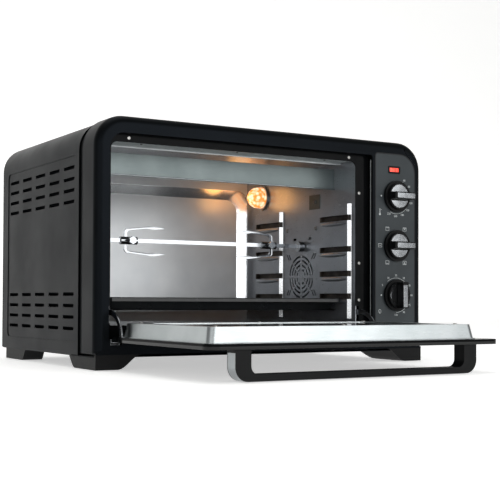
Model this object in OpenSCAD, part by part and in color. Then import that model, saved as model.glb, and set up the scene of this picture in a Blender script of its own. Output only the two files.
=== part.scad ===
// Worktop rotisserie oven with a drop-down glass door, a turning spit and a side fan.
// Millimetres. X runs across the front, Y runs from the front to the back, Z is up.
// The origin is on the worktop, under the middle of the whole. The door is drawn open.

/* [Body] */
// Width of the front bezel
body_w = 568; // [470:1:690]
// Height of the body with its feet
body_h = 351.5; // [320:0.5:430]
// Depth from the face of the bezel to the back
body_d = 398; // [330:1:480]
// Radius of the body's two top corners
corner_r = 43; // [35:1:52]
// Height of the feet under the base plate
foot_h = 17.5; // [14:0.5:21]
// Thickness of the sheet metal
sheet_t = 1; // [0.8:0.1:1.2]

/* [Front] */
// Depth of the bezel's side
bezel_d = 47.5; // [40:0.5:57]
// Thickness of the bezel's face
bezel_t = 3; // [2.5:0.1:3.6]
// Depth of the window from the bezel's face to the flange
recess_d = 12; // [11.5:0.5:14.5]
// Width of the bezel to the left of the window
margin_left = 20; // [18:0.5:24]
// Width of the controls side, from the window to the right edge
controls_w = 99.5; // [96:0.5:119]
// Height of the bezel above the window
margin_top = 24.5; // [22:0.5:29]
// Height of the bottom rail's upper edge
rail_z = 41.5; // [41:0.1:42]

/* [Cavity] */
// Width of the flange to the left of the opening
flange_left = 6.5; // [6.2:0.1:7.8]
// Width of the flange to the right of the opening
flange_right = 24.5; // [22:0.5:29]
// Height of the flange above the opening
flange_top = 11.3; // [9:0.1:13.5]
// Height of the opening's lower edge
lip_z = 60.5; // [58:0.5:61]
// Height of the cavity floor
floor_z = 40; // [38:0.5:41]
// Space between the back wall of the cavity and the back panel
back_gap = 53; // [44:1:63]
// How far the rack pads stand out of the side walls
pad_raise = 5.5; // [4.6:0.1:5.8]
// Heights of the lowest and highest rack ledges
ledge_low = 104; // [100:1:108]
ledge_high = 229; // [220:1:240]

/* [Door] */
// Thickness of the outer glass
glass_t = 4; // [3.4:0.1:4.8]
// Thickness of the steel frame behind the glass
frame_t = 3; // [2.5:0.1:3.4]
// Depth of the inner pan that enters the cavity
pan_d = 19.3; // [16:0.1:20]
// Drop of the handle's bar below the open door
handle_drop = 38; // [32:0.5:38.5]
// Width of the handle's section
handle_w = 21.5; // [18:0.5:25]
// Radius of the hinge pins
hinge_pin_r = 2; // [1.7:0.05:2.4]

/* [Controls] */
// Radius of the knobs
knob_r = 25; // [21:0.5:30]
// How far the knobs stand out of the panel
knob_h = 25; // [21:0.5:30]
// Distance between the knobs
knob_pitch = 78.8; // [66:0.2:80]
// Radius of the knobs' shafts
shaft_r = 3; // [2.5:0.1:3.6]

/* [Spit and fan] */
// Distance of the spit behind the bezel's face
spit_in = 162; // [150:1:175]
// Height of the spit
spit_z = 188; // [186:0.5:192]
// Width of the square spit rod
rod_w = 6; // [5:0.1:7.2]
// Distance from the spit to each prong
prong_gap = 20; // [17:0.5:24]
// Radius of the fan's impeller
fan_r = 37; // [31:0.5:38]
// Height of the fan's centre
fan_z = 137; // [135:0.5:138]
// Radius of the lamp's glass
lamp_r = 19; // [16:0.5:22]

/* [Fits] */
// Radial clearance of a shaft or pin in its bore
run_gap = 0.06; // [0.05:0.01:0.08]
// Clearance between parts that slide or hang free
free_gap = 0.5; // [0.4:0.1:0.6]

/* [Hidden] */
$fn = 64;

half_w = body_w / 2;
door_reach = body_h - margin_top - rail_z - 4.5;
front = (door_reach - body_d) / 2;
back = front + body_d;
base_z = foot_h;
skirt_z = foot_h + 4;
flange_y = front + recess_d;

// Window in the bezel, opening in the flange and walls of the cavity
win_x0 = -half_w + margin_left;
win_x1 = half_w - controls_w;
win_z1 = body_h - margin_top;
open_x0 = win_x0 + flange_left;
open_x1 = win_x1 - flange_right;
open_z1 = win_z1 - flange_top;
cav_x0 = open_x0 - 0.5;
cav_x1 = open_x1 + 1;
cav_z1 = open_z1 + 2.3;
cav_y0 = flange_y + sheet_t;
cav_y1 = back - back_gap;
recess_back = 6;
bezel_wall = 2.2;
bottom_r = 3;

// Shell and back
shell_w = body_w - 3.4;
shell_h = body_h - 1.7;
joggle_y = front + bezel_d + 10;
shell_y = front + bezel_d + 20;
panel_y0 = shell_y + 9;
panel_y1 = back - 26;
panel_z0 = base_z + 19.5;
panel_z1 = body_h - corner_r - 6.5;
vent_columns = 5;
vent_pitch = (panel_y1 - panel_y0) / vent_columns;
vent_l = vent_pitch * 0.68;
vent_h = 5;
vent_drop = 16.4;

// Control panel
ctl_x0 = win_x1 + 5.5;
ctl_x1 = half_w - 15;
ctl_z0 = skirt_z + 14.5;
ctl_z1 = body_h - 20.5;
ctl_t = 2;
knob_x = (ctl_x0 + ctl_x1) / 2 + 1.7;
knob_mid = (ctl_z0 + ctl_z1) / 2 + 1.2;
knob_gap = 0.8;
unit_w = 44;
unit_d = 24;
pilot_z = knob_mid + knob_pitch + 42.5;

// Door, drawn lying open. fold() turns a height on the closed door into a Y on the open one.
hinge_y = front + 5;
hinge_z = rail_z - 2;
function fold(z) = hinge_y + hinge_z - z;
seat = recess_d - 5 - free_gap;
door_z2 = hinge_z + seat;
door_z1 = door_z2 - frame_t;
door_z0 = door_z1 - glass_t;
pan_z = door_z2 + pan_d;
door_x0 = win_x0 + 2;
door_x1 = win_x1 - 2.5;
door_bottom = rail_z + 4.5;
door_top = win_z1 - 1.5;
door_y0 = fold(door_top);
door_y1 = fold(door_bottom);
pan_x0 = open_x0 + 3.5;
pan_x1 = open_x1 - 2.5;
pan_y0 = fold(open_z1 - 7.2);
pan_y1 = fold(lip_z + 3);
pan_lip = 2;
pan_draft = 3.5;
pan_rim = 26;
hinge_in = 9;
ear_w = 10;
tab_t = 1.5;
arm_r = 40;
arm_w = 8;
arm_t = 1.8;
arm_x0 = door_x0 + 0.2;
arm_x1 = open_x1 + 3.5;
handle_in = 36;
handle_y0 = door_y0 + 4;
handle_d = 20;
handle_bar = 8.5;
handle_z0 = door_z0 - handle_drop;
handle_r = handle_drop / 2 - 1.5;

// Spit, forks and fan
spit_y = front + spit_in;
socket_r = 8.5;
stub_r = 4;
fork_hub_r = 6;
fork_left_x = cav_x0 + 90;
fork_right_x = cav_x1 - 64;
fan_y = front + spit_in + 5.5;
fan_shaft_r = 3;
housing_r = fan_r + 5;
housing_d = 26;
fan_motor_r = 28;
fan_motor_d = 34;
motor_w = 52;
motor_d = 34;
lamp_y = cav_y1 - 52;
lamp_z = open_z1 - 35;

// Heating rods and trays
rod_r = 3.5;
upper_rod_z = open_z1 - 23;
upper_rod_y = [front + 92, front + 118];
lower_rod_z = floor_z + 12;
lower_rod_y = [front + 90, cav_y1 - 90];
shield_y = front + 72;
shield_z0 = open_z1 - 39.5;
shield_z1 = open_z1 - 6.5;
ledge_h = 9;
ledges = [for (i = [0 : 3]) ledge_low + [0, 36, 75, 125][i] * (ledge_high - ledge_low) / 125];
pad_y = [[front + 28, front + 103], [max(cav_y1 - 117, spit_y + 56), cav_y1 - 40]];
pad_z0 = lip_z + 8;
pad_z1 = ledge_high + 22;
tray_z = ledge_low - ledge_h / 2;
tray_d = 19;
tray_y0 = front + 36;
tray_y1 = cav_y1 - 12;

body_black = "#17191b";
enamel_black = "#0c0d0e";
aluminised = "#9a9da0";
chrome_c = "#d9dde0";
steel_c = "#b4b8bb";

// ---- Helpers -------------------------------------------------------------

// Rectangle from corner to corner with its own radius at each corner
module panel2d(x0, x1, z0, z1, tl, tr, bl, br) {
    difference() {
        translate([x0, z0]) square([x1 - x0, z1 - z0]);
        translate([x0 - 1, z1 - tl]) square([tl + 1, tl + 1]);
        translate([x1 - tr, z1 - tr]) square([tr + 1, tr + 1]);
        translate([x0 - 1, z0 - 1]) square([bl + 1, bl + 1]);
        translate([x1 - br, z0 - 1]) square([br + 1, br + 1]);
    }
    translate([x0 + tl, z1 - tl]) circle(r = tl);
    translate([x1 - tr, z1 - tr]) circle(r = tr);
    translate([x0 + bl, z0 + bl]) circle(r = bl);
    translate([x1 - br, z0 + br]) circle(r = br);
}

module round2d(x0, x1, z0, z1, r) {
    panel2d(x0, x1, z0, z1, r, r, r, r);
}

// Extrudes an X-Z outline along Y, from y0 to y1
module along_y(y0, y1) {
    translate([0, y1, 0]) rotate([90, 0, 0]) linear_extrude(y1 - y0) children();
}

// Extrudes a Y-Z outline along X, from x0 to x1
module along_x(x0, x1) {
    translate([x0, 0, 0]) rotate([90, 0, 90]) linear_extrude(x1 - x0) children();
}

module along_z(z0, z1) {
    translate([0, 0, z0]) linear_extrude(z1 - z0) children();
}

// Box given by its two corners
module box(lo, hi) {
    translate(lo) cube(hi - lo);
}

module rod_x(x0, x1, y, z, r) {
    translate([x0, y, z]) rotate([0, 90, 0]) cylinder(r = r, h = x1 - x0);
}

module rod_y(y0, y1, x, z, r) {
    translate([x, y1, z]) rotate([90, 0, 0]) cylinder(r = r, h = y1 - y0);
}

module rod_z(z0, z1, x, y, r) {
    translate([x, y, z0]) cylinder(r = r, h = z1 - z0);
}

// Body outline with round top corners, inset all round
module body2d(w, z0, z1, r, inset = 0) {
    panel2d(-w / 2 + inset, w / 2 - inset, z0 + inset, z1 - inset, r - inset, r - inset,
        bottom_r, bottom_r);
}

module panel_outline(grow = 0) {
    panel2d(ctl_x0 - grow, ctl_x1 + grow, ctl_z0 - grow, ctl_z1 + grow, 5, 30, 5, 8);
}

module window2d(grow = 0) {
    panel2d(win_x0 - grow, win_x1 + grow, rail_z - grow, win_z1 + grow, 22, 5, 5, 5);
}

// ---- Body ----------------------------------------------------------------

// Deep frame round the front, with the window and the pocket for the control panel
module front_bezel() color(body_black) {
    difference() {
        along_y(front, front + bezel_d) body2d(body_w, skirt_z, body_h, corner_r);
        along_y(front + bezel_t, front + bezel_d + 1) body2d(body_w, skirt_z, body_h, corner_r, bezel_wall);
        along_y(front - 1, front + bezel_t + 1) window2d();
        along_y(front - 1, front + ctl_t) panel_outline(free_gap);
        along_y(front - 1, front + bezel_t + 1) panel_outline(-6);
        bezel_notches();
    }
    difference() {
        along_y(front + bezel_t, flange_y) window2d(2);
        along_y(front + bezel_t - 1, flange_y + 1) window2d();
        bezel_notches();
    }
}

// Gaps in the bottom rail where the hinges turn
module bezel_notches() {
    for (x = hinge_centres())
        box([x - hinge_in, front - 1, hinge_z - 5], [x + hinge_in, flange_y + 0.1, hinge_z + 11]);
}

function hinge_centres() = [door_x0 + hinge_in, door_x1 - hinge_in];

module control_panel() color("#2b3033") difference() {
    along_y(front, front + ctl_t) panel_outline();
    for (i = [-1 : 1]) rod_y(front - 1, front + ctl_t + 1, knob_x, knob_mid + i * knob_pitch, shaft_r + 1.5);
    along_y(front - 1, front + ctl_t + 1)
        round2d(knob_x - 15, knob_x + 7, pilot_z - 5, pilot_z + 5, 2);
}

// One sheet bent over the top and both sides, stepped in twice where it enters the bezel
module outer_shell() color(body_black) {
    difference() {
        union() {
            shell_band(front + bezel_d - 9, front + bezel_d - 1, 0.7);
            shell_band(front + bezel_d - 1 - sheet_t, front + bezel_d - 1, 0.7, 4.3);
            shell_band(front + bezel_d - 1 - sheet_t, joggle_y, 5);
        }
        box([-half_w, front + bezel_d - 10, 0],
            [half_w, front + bezel_d + 0.3, skirt_z + bezel_wall + bottom_r + 0.3]);
    }
    shell_band(joggle_y - sheet_t, joggle_y, 2.5, 5);
    shell_band(joggle_y, shell_y, 2.5);
    shell_band(shell_y - sheet_t, shell_y, 0, 2.5);
    difference() {
        shell_band(shell_y, back, 0);
        for (s = [-1, 1]) on_side(s) side_panel_cut();
    }
    difference() {
        for (s = [-1, 1]) on_side(s)
            box([-shell_w / 2 + sheet_t, panel_y0 - 3, panel_z0 - 3],
                [-shell_w / 2 + 2 * sheet_t, panel_y1 + 3, panel_z1 + 3]);
        for (s = [-1, 1]) on_side(s) side_vents();
    }
}

// Ring of sheet over the top and sides, from y0 to y1, whose face is inset from the shell's
module shell_band(y0, y1, inset, reach = 0) {
    difference() {
        along_y(y0, y1) body2d(shell_w, base_z, shell_h, corner_r - 1, inset);
        along_y(y0 - 1, y1 + 1) shell_hollow(inset + reach + sheet_t);
    }
}

module shell_hollow(t) {
    panel2d(-shell_w / 2 + t, shell_w / 2 - t, base_z - 20, shell_h - t, corner_r - 1 - t,
        corner_r - 1 - t, 1, 1);
}

// Draws what is modelled on the left side, or its mirror image on the right
module on_side(s) {
    if (s < 0) children();
    else mirror([1, 0, 0]) children();
}

module side_panel_cut() {
    along_x(-shell_w / 2 - 1, -shell_w / 2 + sheet_t + 0.01)
        round2d(panel_y0, panel_y1, panel_z0, panel_z1, 9);
}

// Rows of slots near the top and the bottom of the pressed panel
module side_vents() {
    for (i = [0 : vent_columns - 1], j = [0 : 3], top = [0, 1]) {
        y = panel_y0 + (i + 0.5) * vent_pitch;
        z = top == 1 ? panel_z1 - 16 - j * vent_drop : panel_z0 + 18.5 + j * vent_drop;
        box([-shell_w / 2 - 1, y - vent_l / 2, z - vent_h / 2],
            [-shell_w / 2 + 3 * sheet_t, y + vent_l / 2, z + vent_h / 2]);
    }
}

back_inset = sheet_t + 0.3;
inlet_x = half_w - 60;
inlet_z = base_z + 32;
inlet_r = 8;

module back_panel() color(body_black) difference() {
    along_y(back - sheet_t - 0.4, back - 0.4) body2d(shell_w, base_z, shell_h, corner_r - 1, back_inset);
    for (i = [-7 : 7], j = [0 : 2])
        along_y(back - 5, back + 1)
            round2d(i * 30 - 11, i * 30 + 11, panel_z1 - 20 - j * 14, panel_z1 - 16 - j * 14, 1.9);
    rod_y(back - 5, back + 1, inlet_x, inlet_z, inlet_r + 0.2);
    for (p = back_screw_spots()) rod_y(back - 5, back + 1, p[0], p[1], 1.7);
}

module base_plate() color("#4a4d50") difference() {
    box([-shell_w / 2 + sheet_t + 0.1, front + 5, base_z],
        [shell_w / 2 - sheet_t - 0.1, back - 3, base_z + sheet_t]);
    for (i = [-5 : 5], y = [(front + back) / 2 - 60, (front + back) / 2 + 60])
        box([i * 32 - 11, y - 2, base_z - 1], [i * 32 + 11, y + 2, base_z + 2]);
    for (p = foot_spots()) rod_z(base_z - 1, base_z + 2, p[0], p[1], 2.1);
}

// Centres of the four feet, front pair first
foot_x = half_w - 19;
front_foot_l = 76;
rear_foot_y0 = back - 95;
rear_foot_y1 = back - 17.5;
pad_h = 2.6;
pad_r = 9;

function foot_spots() = [
    for (y = [front + front_foot_l / 2 + 4, (rear_foot_y0 + rear_foot_y1) / 2], s = [-1, 1])
        [s * foot_x, y]
];

// Points of an S-shaped slope from [x0, z0] up to [x1, z1]
function slope(x0, z0, x1, z1) = [
    for (k = [0 : 8]) [x0 + (x1 - x0) * k / 8, z0 + (z1 - z0) * (1 - cos(k * 180 / 8)) / 2]
];

// Front feet are one moulding each, sweeping up into the skirt
module front_feet() color(enamel_black) for (s = [-1, 1]) on_side(s) difference() {
    intersection() {
        along_y(front, front + 110) polygon(concat(
            [[-half_w + 1, skirt_z], [-half_w + 1, 0.8]],
            slope(-half_w + 34, 0.8, -half_w + 70, skirt_z)));
        along_x(-half_w, -half_w + 80) polygon(concat(
            [[front + 1, skirt_z], [front + 1, 0.8]],
            slope(front + front_foot_l, 0.8, front + front_foot_l + 30, skirt_z)));
    }
    box([-half_w, front + 4.8, base_z], [-half_w + 80, front + 120, skirt_z + 1]);
    foot_recess(foot_spots()[0]);
}

module rear_feet() color(enamel_black) for (s = [-1, 1]) on_side(s) difference() {
    along_x(-half_w + 3, -half_w + 36) polygon(concat(
        [[rear_foot_y1, base_z], [rear_foot_y1, 0.8]],
        slope(rear_foot_y0, 0.8, rear_foot_y0 - 18, base_z)));
    foot_recess(foot_spots()[2]);
}

module foot_recess(p) {
    rod_z(-1, pad_h, p[0], p[1], pad_r + 0.1);
    rod_z(0, base_z + 1, p[0], p[1], 2.1);
}

module foot_pads() color("#1c1c1c") for (p = foot_spots()) rod_z(0, pad_h, p[0], p[1], pad_r);

function back_screw_spots() = [
    for (s = [-1, 1], z = [base_z + 14, body_h / 2, shell_h - 14]) [s * (half_w - 34), z]
];

// Screws through the back panel, and one through each foot
module body_screws() color(chrome_c) {
    for (p = back_screw_spots()) {
        rod_y(back - 8, back - 0.4, p[0], p[1], 1.6);
        rod_y(back - 0.4, back, p[0], p[1], 3.4);
    }
    for (p = foot_spots()) {
        rod_z(pad_h + 0.2, base_z + sheet_t + 2.4, p[0], p[1], 2);
        rod_z(base_z + sheet_t, base_z + sheet_t + 2.4, p[0], p[1], 4);
    }
}

module cord_inlet() color(enamel_black) difference() {
    union() {
        rod_y(back - 10, back, inlet_x, inlet_z, inlet_r);
        rod_y(back - 0.4, back, inlet_x, inlet_z, inlet_r + 3);
        rod_y(back - 10, back - 4, inlet_x, inlet_z, inlet_r + 2);
    }
    rod_y(back - 11, back + 1, inlet_x, inlet_z, 3.8);
}

// ---- Cavity --------------------------------------------------------------

arm_slot_z = hinge_z + arm_r + arm_w / 2 + 5;

// Black plate round the opening, with slots for the hinge arms
module front_flange() color(enamel_black) difference() {
    along_y(flange_y, flange_y + sheet_t)
        round2d(win_x0 - 6, win_x1 + 4, skirt_z + 3, win_z1 + 6, 8);
    along_y(flange_y - 1, flange_y + sheet_t + 1)
        panel2d(open_x0, open_x1, lip_z, open_z1, 10, 10, 3, 3);
    box([arm_x0 - 0.8, flange_y - 1, lip_z + 4], [open_x0 + 1, flange_y + 2, arm_slot_z]);
    box([open_x1 - 1, flange_y - 1, lip_z + 4], [arm_x1 + arm_t + 0.8, flange_y + 2, arm_slot_z]);
    for (p = flange_screw_spots()) rod_y(flange_y - 1, flange_y + 2, p[0], p[1], 1.8);
}

function flange_screw_spots() = [
    [open_x0 + 27, open_z1 + 6.1], [open_x1 - 13, open_z1 + 6.1],
    for (z = [fan_z - 39, spit_z - 32, lamp_z - 14]) [open_x1 + 7, z]
];

module cavity_top() color(aluminised)
    box([cav_x0 - sheet_t, cav_y0, cav_z1], [cav_x1 + sheet_t, cav_y1 + sheet_t, cav_z1 + sheet_t]);

module cavity_floor() color(aluminised)
    box([cav_x0 - sheet_t, cav_y0, floor_z - sheet_t], [cav_x1 + sheet_t, cav_y1 + sheet_t, floor_z]);

// Back wall, pressed back in the middle with a sloping border
module cavity_back() color(aluminised) {
    difference() {
        box([cav_x0, cav_y1, floor_z], [cav_x1, cav_y1 + recess_back + sheet_t, cav_z1]);
        box([cav_x0 - 1, cav_y1 + sheet_t, floor_z - 1], [cav_x1 + 1, back, lip_z - 2]);
        box([cav_x0 - 1, cav_y1 + sheet_t, open_z1 - 15], [cav_x1 + 1, back, cav_z1 + 1]);
        hull() {
            along_y(cav_y1 - 0.1, cav_y1) round2d(cav_x0 + 1, cav_x1 - 1, lip_z, open_z1 - 19, 20);
            along_y(cav_y1 + recess_back - 0.1, cav_y1 + recess_back)
                round2d(cav_x0 + 20, cav_x1 - 20, lip_z + 16, open_z1 - 36, 24);
        }
    }
}

module side_wall(x0) {
    box([x0, cav_y0, floor_z], [x0 + sheet_t, cav_y1, cav_z1]);
}

// Raised pads with ledges that the trays slide on, facing +X
module rack_pads() {
    for (p = pad_y) difference() {
        along_z(pad_z0, pad_z1) polygon([
            [0, p[0] - 4], [pad_raise, p[0]], [pad_raise, p[1]], [0, p[1] + 4]]);
        for (z = ledges)
            box([0.4, p[0] - 5, z - ledge_h / 2], [pad_raise + 1, p[1] + 5, z + ledge_h / 2]);
    }
}

rod_hole_r = 4.5;

module rod_holes(x0, x1) {
    for (y = upper_rod_y) rod_x(x0, x1, y, upper_rod_z, rod_hole_r);
    for (y = lower_rod_y) rod_x(x0, x1, y, lower_rod_z, rod_hole_r);
}

module cavity_side_left() color(aluminised) {
    difference() {
        side_wall(cav_x0 - sheet_t);
        rod_holes(cav_x0 - 5, cav_x0 + 1);
        rod_x(cav_x0 - 5, cav_x0 + 1, spit_y, spit_z, rod_w / 2 + 2);
    }
    translate([cav_x0, 0, 0]) rack_pads();
}

// Right wall: fan grille, lamp hole, spit drive hole and slots for the motor bracket
module cavity_side_right() color(aluminised) {
    difference() {
        side_wall(cav_x1);
        rod_holes(cav_x1 - 1, cav_x1 + 5);
        rod_x(cav_x1 - 1, cav_x1 + 5, spit_y, spit_z, stub_r + 0.4);
        rod_x(cav_x1 - 1, cav_x1 + 5, lamp_y, lamp_z, lamp_r - 2);
        along_x(cav_x1 - 1, cav_x1 + 5) fan_grille();
        for (s = [-1, 1]) along_x(cav_x1 - 1, cav_x1 + 5)
            round2d(spit_y + s * 23 + 2 - 5, spit_y + s * 23 + 2 + 5, spit_z + 11, spit_z + 15, 1.9);
        for (p = wall_screw_spots()) rod_x(cav_x1 - 1, cav_x1 + 5, p[0], p[1], 1.8);
    }
    translate([cav_x1, 0, 0]) mirror([1, 0, 0]) rack_pads();
}

function wall_screw_spots() = [
    [spit_y - 38, spit_z + 29], [spit_y + 48, spit_z + 29], [front + 126, lamp_z - 20]
];

// Rings of arched slots with four short pairs at the corners, as a Y-Z outline
module fan_grille() {
    translate([fan_y, fan_z]) {
        difference() {
            for (k = [1 : 5]) difference() {
                circle(r = fan_r * k / 5 - 1);
                circle(r = fan_r * k / 5 - 4.2);
            }
            square([2 * fan_r + 2, 4], center = true);
            rotate(90) square([2 * fan_r + 2, 5], center = true);
            for (a = [-42, 42]) rotate(a) square([2 * fan_r + 2, 3], center = true);
        }
        for (sy = [-1, 1], sz = [-1, 1], k = [0, 1])
            translate([sy * (fan_r - 2 + 6 * k), sz * (sz > 0 ? 34 : 27)]) rotate(sy * sz * 55)
                square([12, 2.6], center = true);
    }
}

module wall_cover_plate() color(steel_c) difference() {
    box([cav_x1 - 1, front + 111, lamp_z - 32], [cav_x1, front + 142, lamp_z - 8]);
    rod_x(cav_x1 - 5, cav_x1 + 5, wall_screw_spots()[2][0], wall_screw_spots()[2][1], 1.8);
}

// Screws of the flange and of the right wall
module cavity_screws() color(chrome_c) {
    for (p = flange_screw_spots()) {
        rod_y(flange_y, flange_y + 5, p[0], p[1], 1.7);
        rod_y(flange_y - 0.25, flange_y, p[0], p[1], 2.8);
    }
    for (i = [0 : 2]) {
        p = wall_screw_spots()[i];
        seat_x = i == 2 ? cav_x1 - 1 : cav_x1;
        rod_x(seat_x, cav_x1 + 5, p[0], p[1], 1.7);
        rod_x(seat_x - 1.2, seat_x, p[0], p[1], 3);
    }
}

// Bent strip in front of the upper heating element
module upper_heat_shield() color(aluminised) {
    box([cav_x0 + 0.2, shield_y, shield_z0], [cav_x1 - 0.2, shield_y + sheet_t, shield_z1]);
    box([cav_x0 + 0.2, shield_y - 3, shield_z0], [cav_x1 - 0.2, shield_y, shield_z0 + sheet_t]);
    box([cav_x0 + 0.2, shield_y, shield_z1 - sheet_t], [cav_x1 - 0.2, shield_y + 9, shield_z1]);
}

rod_x0 = cav_x0 - 12;
rod_x1 = cav_x1 + 14;

// Two straight sheathed rods that pass through both side walls
module element(ys, z) {
    for (y = ys) rod_x(rod_x0, rod_x1, y, z, rod_r);
}

module upper_heating_element() color("#5b5550") element(upper_rod_y, upper_rod_z);

module lower_heating_element() color("#5b5550") element(lower_rod_y, lower_rod_z);

// Ceramic bushes that hold the rods in the side walls
module element_bushes() color("#e8e2d4") {
    for (y = upper_rod_y) bush_pair(y, upper_rod_z);
    for (y = lower_rod_y) bush_pair(y, lower_rod_z);
}

module bush_pair(y, z) {
    for (x = [cav_x0 - sheet_t, cav_x1 + sheet_t]) {
        out = x < 0 ? -1 : 1;
        difference() {
            union() {
                rod_x(min(x, x + out * 7), max(x, x + out * 7), y, z, 7);
                rod_x(min(x, x - out * sheet_t), max(x, x - out * sheet_t), y, z, rod_hole_r - 0.1);
            }
            rod_x(x - 20, x + 20, y, z, rod_r + run_gap);
        }
    }
}

// ---- Lamp ----------------------------------------------------------------

lamp_x = cav_x1 - 10;
bulb_r = 9;

// Glass dome that closes the lamp hole, hollow behind
module lamp_dome() color("#ffd9a0", 0.6) difference() {
    union() {
        intersection() {
            translate([lamp_x, lamp_y, lamp_z]) sphere(r = lamp_r);
            box([lamp_x - lamp_r - 1, lamp_y - 40, lamp_z - 40], [lamp_x, lamp_y + 40, lamp_z + 40]);
        }
        rod_x(lamp_x, cav_x1 - 0.2, lamp_y, lamp_z, lamp_r);
    }
    translate([lamp_x, lamp_y, lamp_z]) sphere(r = lamp_r - 2.5);
    rod_x(lamp_x, cav_x1, lamp_y, lamp_z, lamp_r - 2.5);
}

// Steel ring on the wall and the ceramic socket behind it
module lamp_holder() color(steel_c) {
    difference() {
        rod_x(cav_x1 - 4, cav_x1, lamp_y, lamp_z, lamp_r + 3);
        rod_x(cav_x1 - 5, cav_x1 + 1, lamp_y, lamp_z, lamp_r + 0.2);
    }
    difference() {
        rod_x(cav_x1 + sheet_t, cav_x1 + 42, lamp_y, lamp_z, lamp_r - 3);
        rod_x(cav_x1, cav_x1 + 30, lamp_y, lamp_z, 7.2);
    }
}

module lamp_bulb() color("#ffe9c0") {
    translate([cav_x1 - 8, lamp_y, lamp_z]) rotate([0, 90, 0]) rotate_extrude() intersection() {
        union() {
            circle(r = bulb_r);
            square([6.8, 34]);
        }
        translate([0, -bulb_r]) square([bulb_r, 60]);
    }
}

// ---- Fan and spit drive --------------------------------------------------

housing_x = cav_x1 + sheet_t;

// Hub with eight flat blades and its shaft
module fan_impeller() color(steel_c) {
    rod_x(housing_x + 17, housing_x + 18.5, fan_y, fan_z, fan_r - 1);
    rod_x(housing_x + 8, housing_x + housing_d + fan_motor_d - 6, fan_y, fan_z, fan_shaft_r);
    rod_x(housing_x + 8, housing_x + 17, fan_y, fan_z, 8);
    for (k = [0 : 7]) translate([0, fan_y, fan_z]) rotate([k * 45, 0, 0])
        box([housing_x + 5, 7, -0.8], [housing_x + 17, fan_r - 2, 0.8]);
}

module fan_housing() color(aluminised) difference() {
    rod_x(housing_x, housing_x + housing_d, fan_y, fan_z, housing_r);
    rod_x(housing_x - 1, housing_x + housing_d - sheet_t, fan_y, fan_z, housing_r - sheet_t);
    rod_x(housing_x, housing_x + housing_d + 1, fan_y, fan_z, fan_shaft_r + 2);
}

module fan_motor() color("#3c4043") difference() {
    union() {
        rod_x(housing_x + housing_d, housing_x + housing_d + fan_motor_d, fan_y, fan_z, fan_motor_r);
        box([housing_x + housing_d + 6, fan_y - 33, fan_z - 20],
            [housing_x + housing_d + 26, fan_y + 33, fan_z + 20]);
    }
    rod_x(housing_x + housing_d - 1, housing_x + housing_d + fan_motor_d - 4, fan_y, fan_z,
        fan_shaft_r + run_gap);
}

motor_z0 = spit_z - 8;

// Synchronous gear motor on a bracket that is screwed to the wall
module spit_motor() color(steel_c) difference() {
    union() {
        box([housing_x + 6, spit_y - motor_w / 2, motor_z0],
            [housing_x + 6 + motor_d, spit_y + motor_w / 2, motor_z0 + 50]);
        box([housing_x, spit_y - 46, motor_z0 + 30], [housing_x + sheet_t, spit_y + 56, motor_z0 + 44]);
        for (y = [spit_y - 20, spit_y + 20])
            box([housing_x, y - 3, motor_z0 + 32], [housing_x + 6, y + 3, motor_z0 + 42]);
    }
    rod_x(housing_x, housing_x + motor_d - 4, spit_y, spit_z, stub_r + run_gap);
    for (p = wall_screw_spots()) rod_x(housing_x - 1, housing_x + 5, p[0], p[1], 1.8);
}

socket_x0 = cav_x1 - 11;

// Chrome collar with a square socket for the rod and a stub into the motor
module spit_drive_socket() color(chrome_c) difference() {
    union() {
        rod_x(socket_x0, cav_x1 - 1.5, spit_y, spit_z, socket_r);
        rod_x(cav_x1 - 2, housing_x + motor_d - 6, spit_y, spit_z, stub_r);
    }
    translate([socket_x0 + 4, spit_y, spit_z])
        cube([10, rod_w + 0.4, rod_w + 0.4], center = true);
}

rest_x1 = cav_x0 + 6;

// Bracket on the left wall with a bush for the rod's round end
module spit_rest() color(steel_c) difference() {
    union() {
        rod_x(cav_x0, rest_x1, spit_y, spit_z, rod_w / 2 + 5);
        box([cav_x0, spit_y - 9, spit_z - 16], [cav_x0 + sheet_t, spit_y + 9, spit_z + 16]);
    }
    rod_x(cav_x0 - 1, rest_x1 + 1, spit_y, spit_z, rod_w / 2 + run_gap);
}

module spit_rod() color(chrome_c) {
    rod_x(cav_x0 - sheet_t - 2, rest_x1 + 2, spit_y, spit_z, rod_w / 2);
    translate([rest_x1 + 1, spit_y - rod_w / 2, spit_z - rod_w / 2])
        cube([socket_x0 + 8.5 - rest_x1 - 1, rod_w, rod_w]);
}

// Sheet fork seen from the front: a cross bar and two prongs that end in flat points
module fork(x, dir) {
    p = prong_gap;
    hub_y = spit_y;
    difference() {
        union() {
            rod_x(min(x - dir * 8, x + dir * 20), max(x - dir * 8, x + dir * 20), hub_y, spit_z, fork_hub_r);
            for (s = [-1, 1]) translate([x, hub_y, spit_z]) mirror([dir > 0 ? 0 : 1, 0, 0])
                mirror([0, 0, s > 0 ? 0 : 1]) along_y(-1.5, 1.5) polygon([
                    [-1.5, 4], [-1.5, p - 5], [2, p - 1.5], [8, p - 0.5], [38, p + 2.5], [46, p + 3.6],
                    [68, p], [46, p - 2], [38, p - 1], [10, p - 4], [5, p - 5], [3, p - 8], [3, 4]]);
        }
        box([x - 40, hub_y - rod_w / 2 - 0.3, spit_z - rod_w / 2 - 0.3],
            [x + 40, hub_y + rod_w / 2 + 0.3, spit_z + rod_w / 2 + 0.3]);
        rod_y(hub_y - 20, hub_y, x + dir * 7, spit_z, 2.1);
    }
}

module spit_fork_left() color(chrome_c) fork(fork_left_x, 1);

module spit_fork_right() color(chrome_c) fork(fork_right_x, -1);

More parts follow.
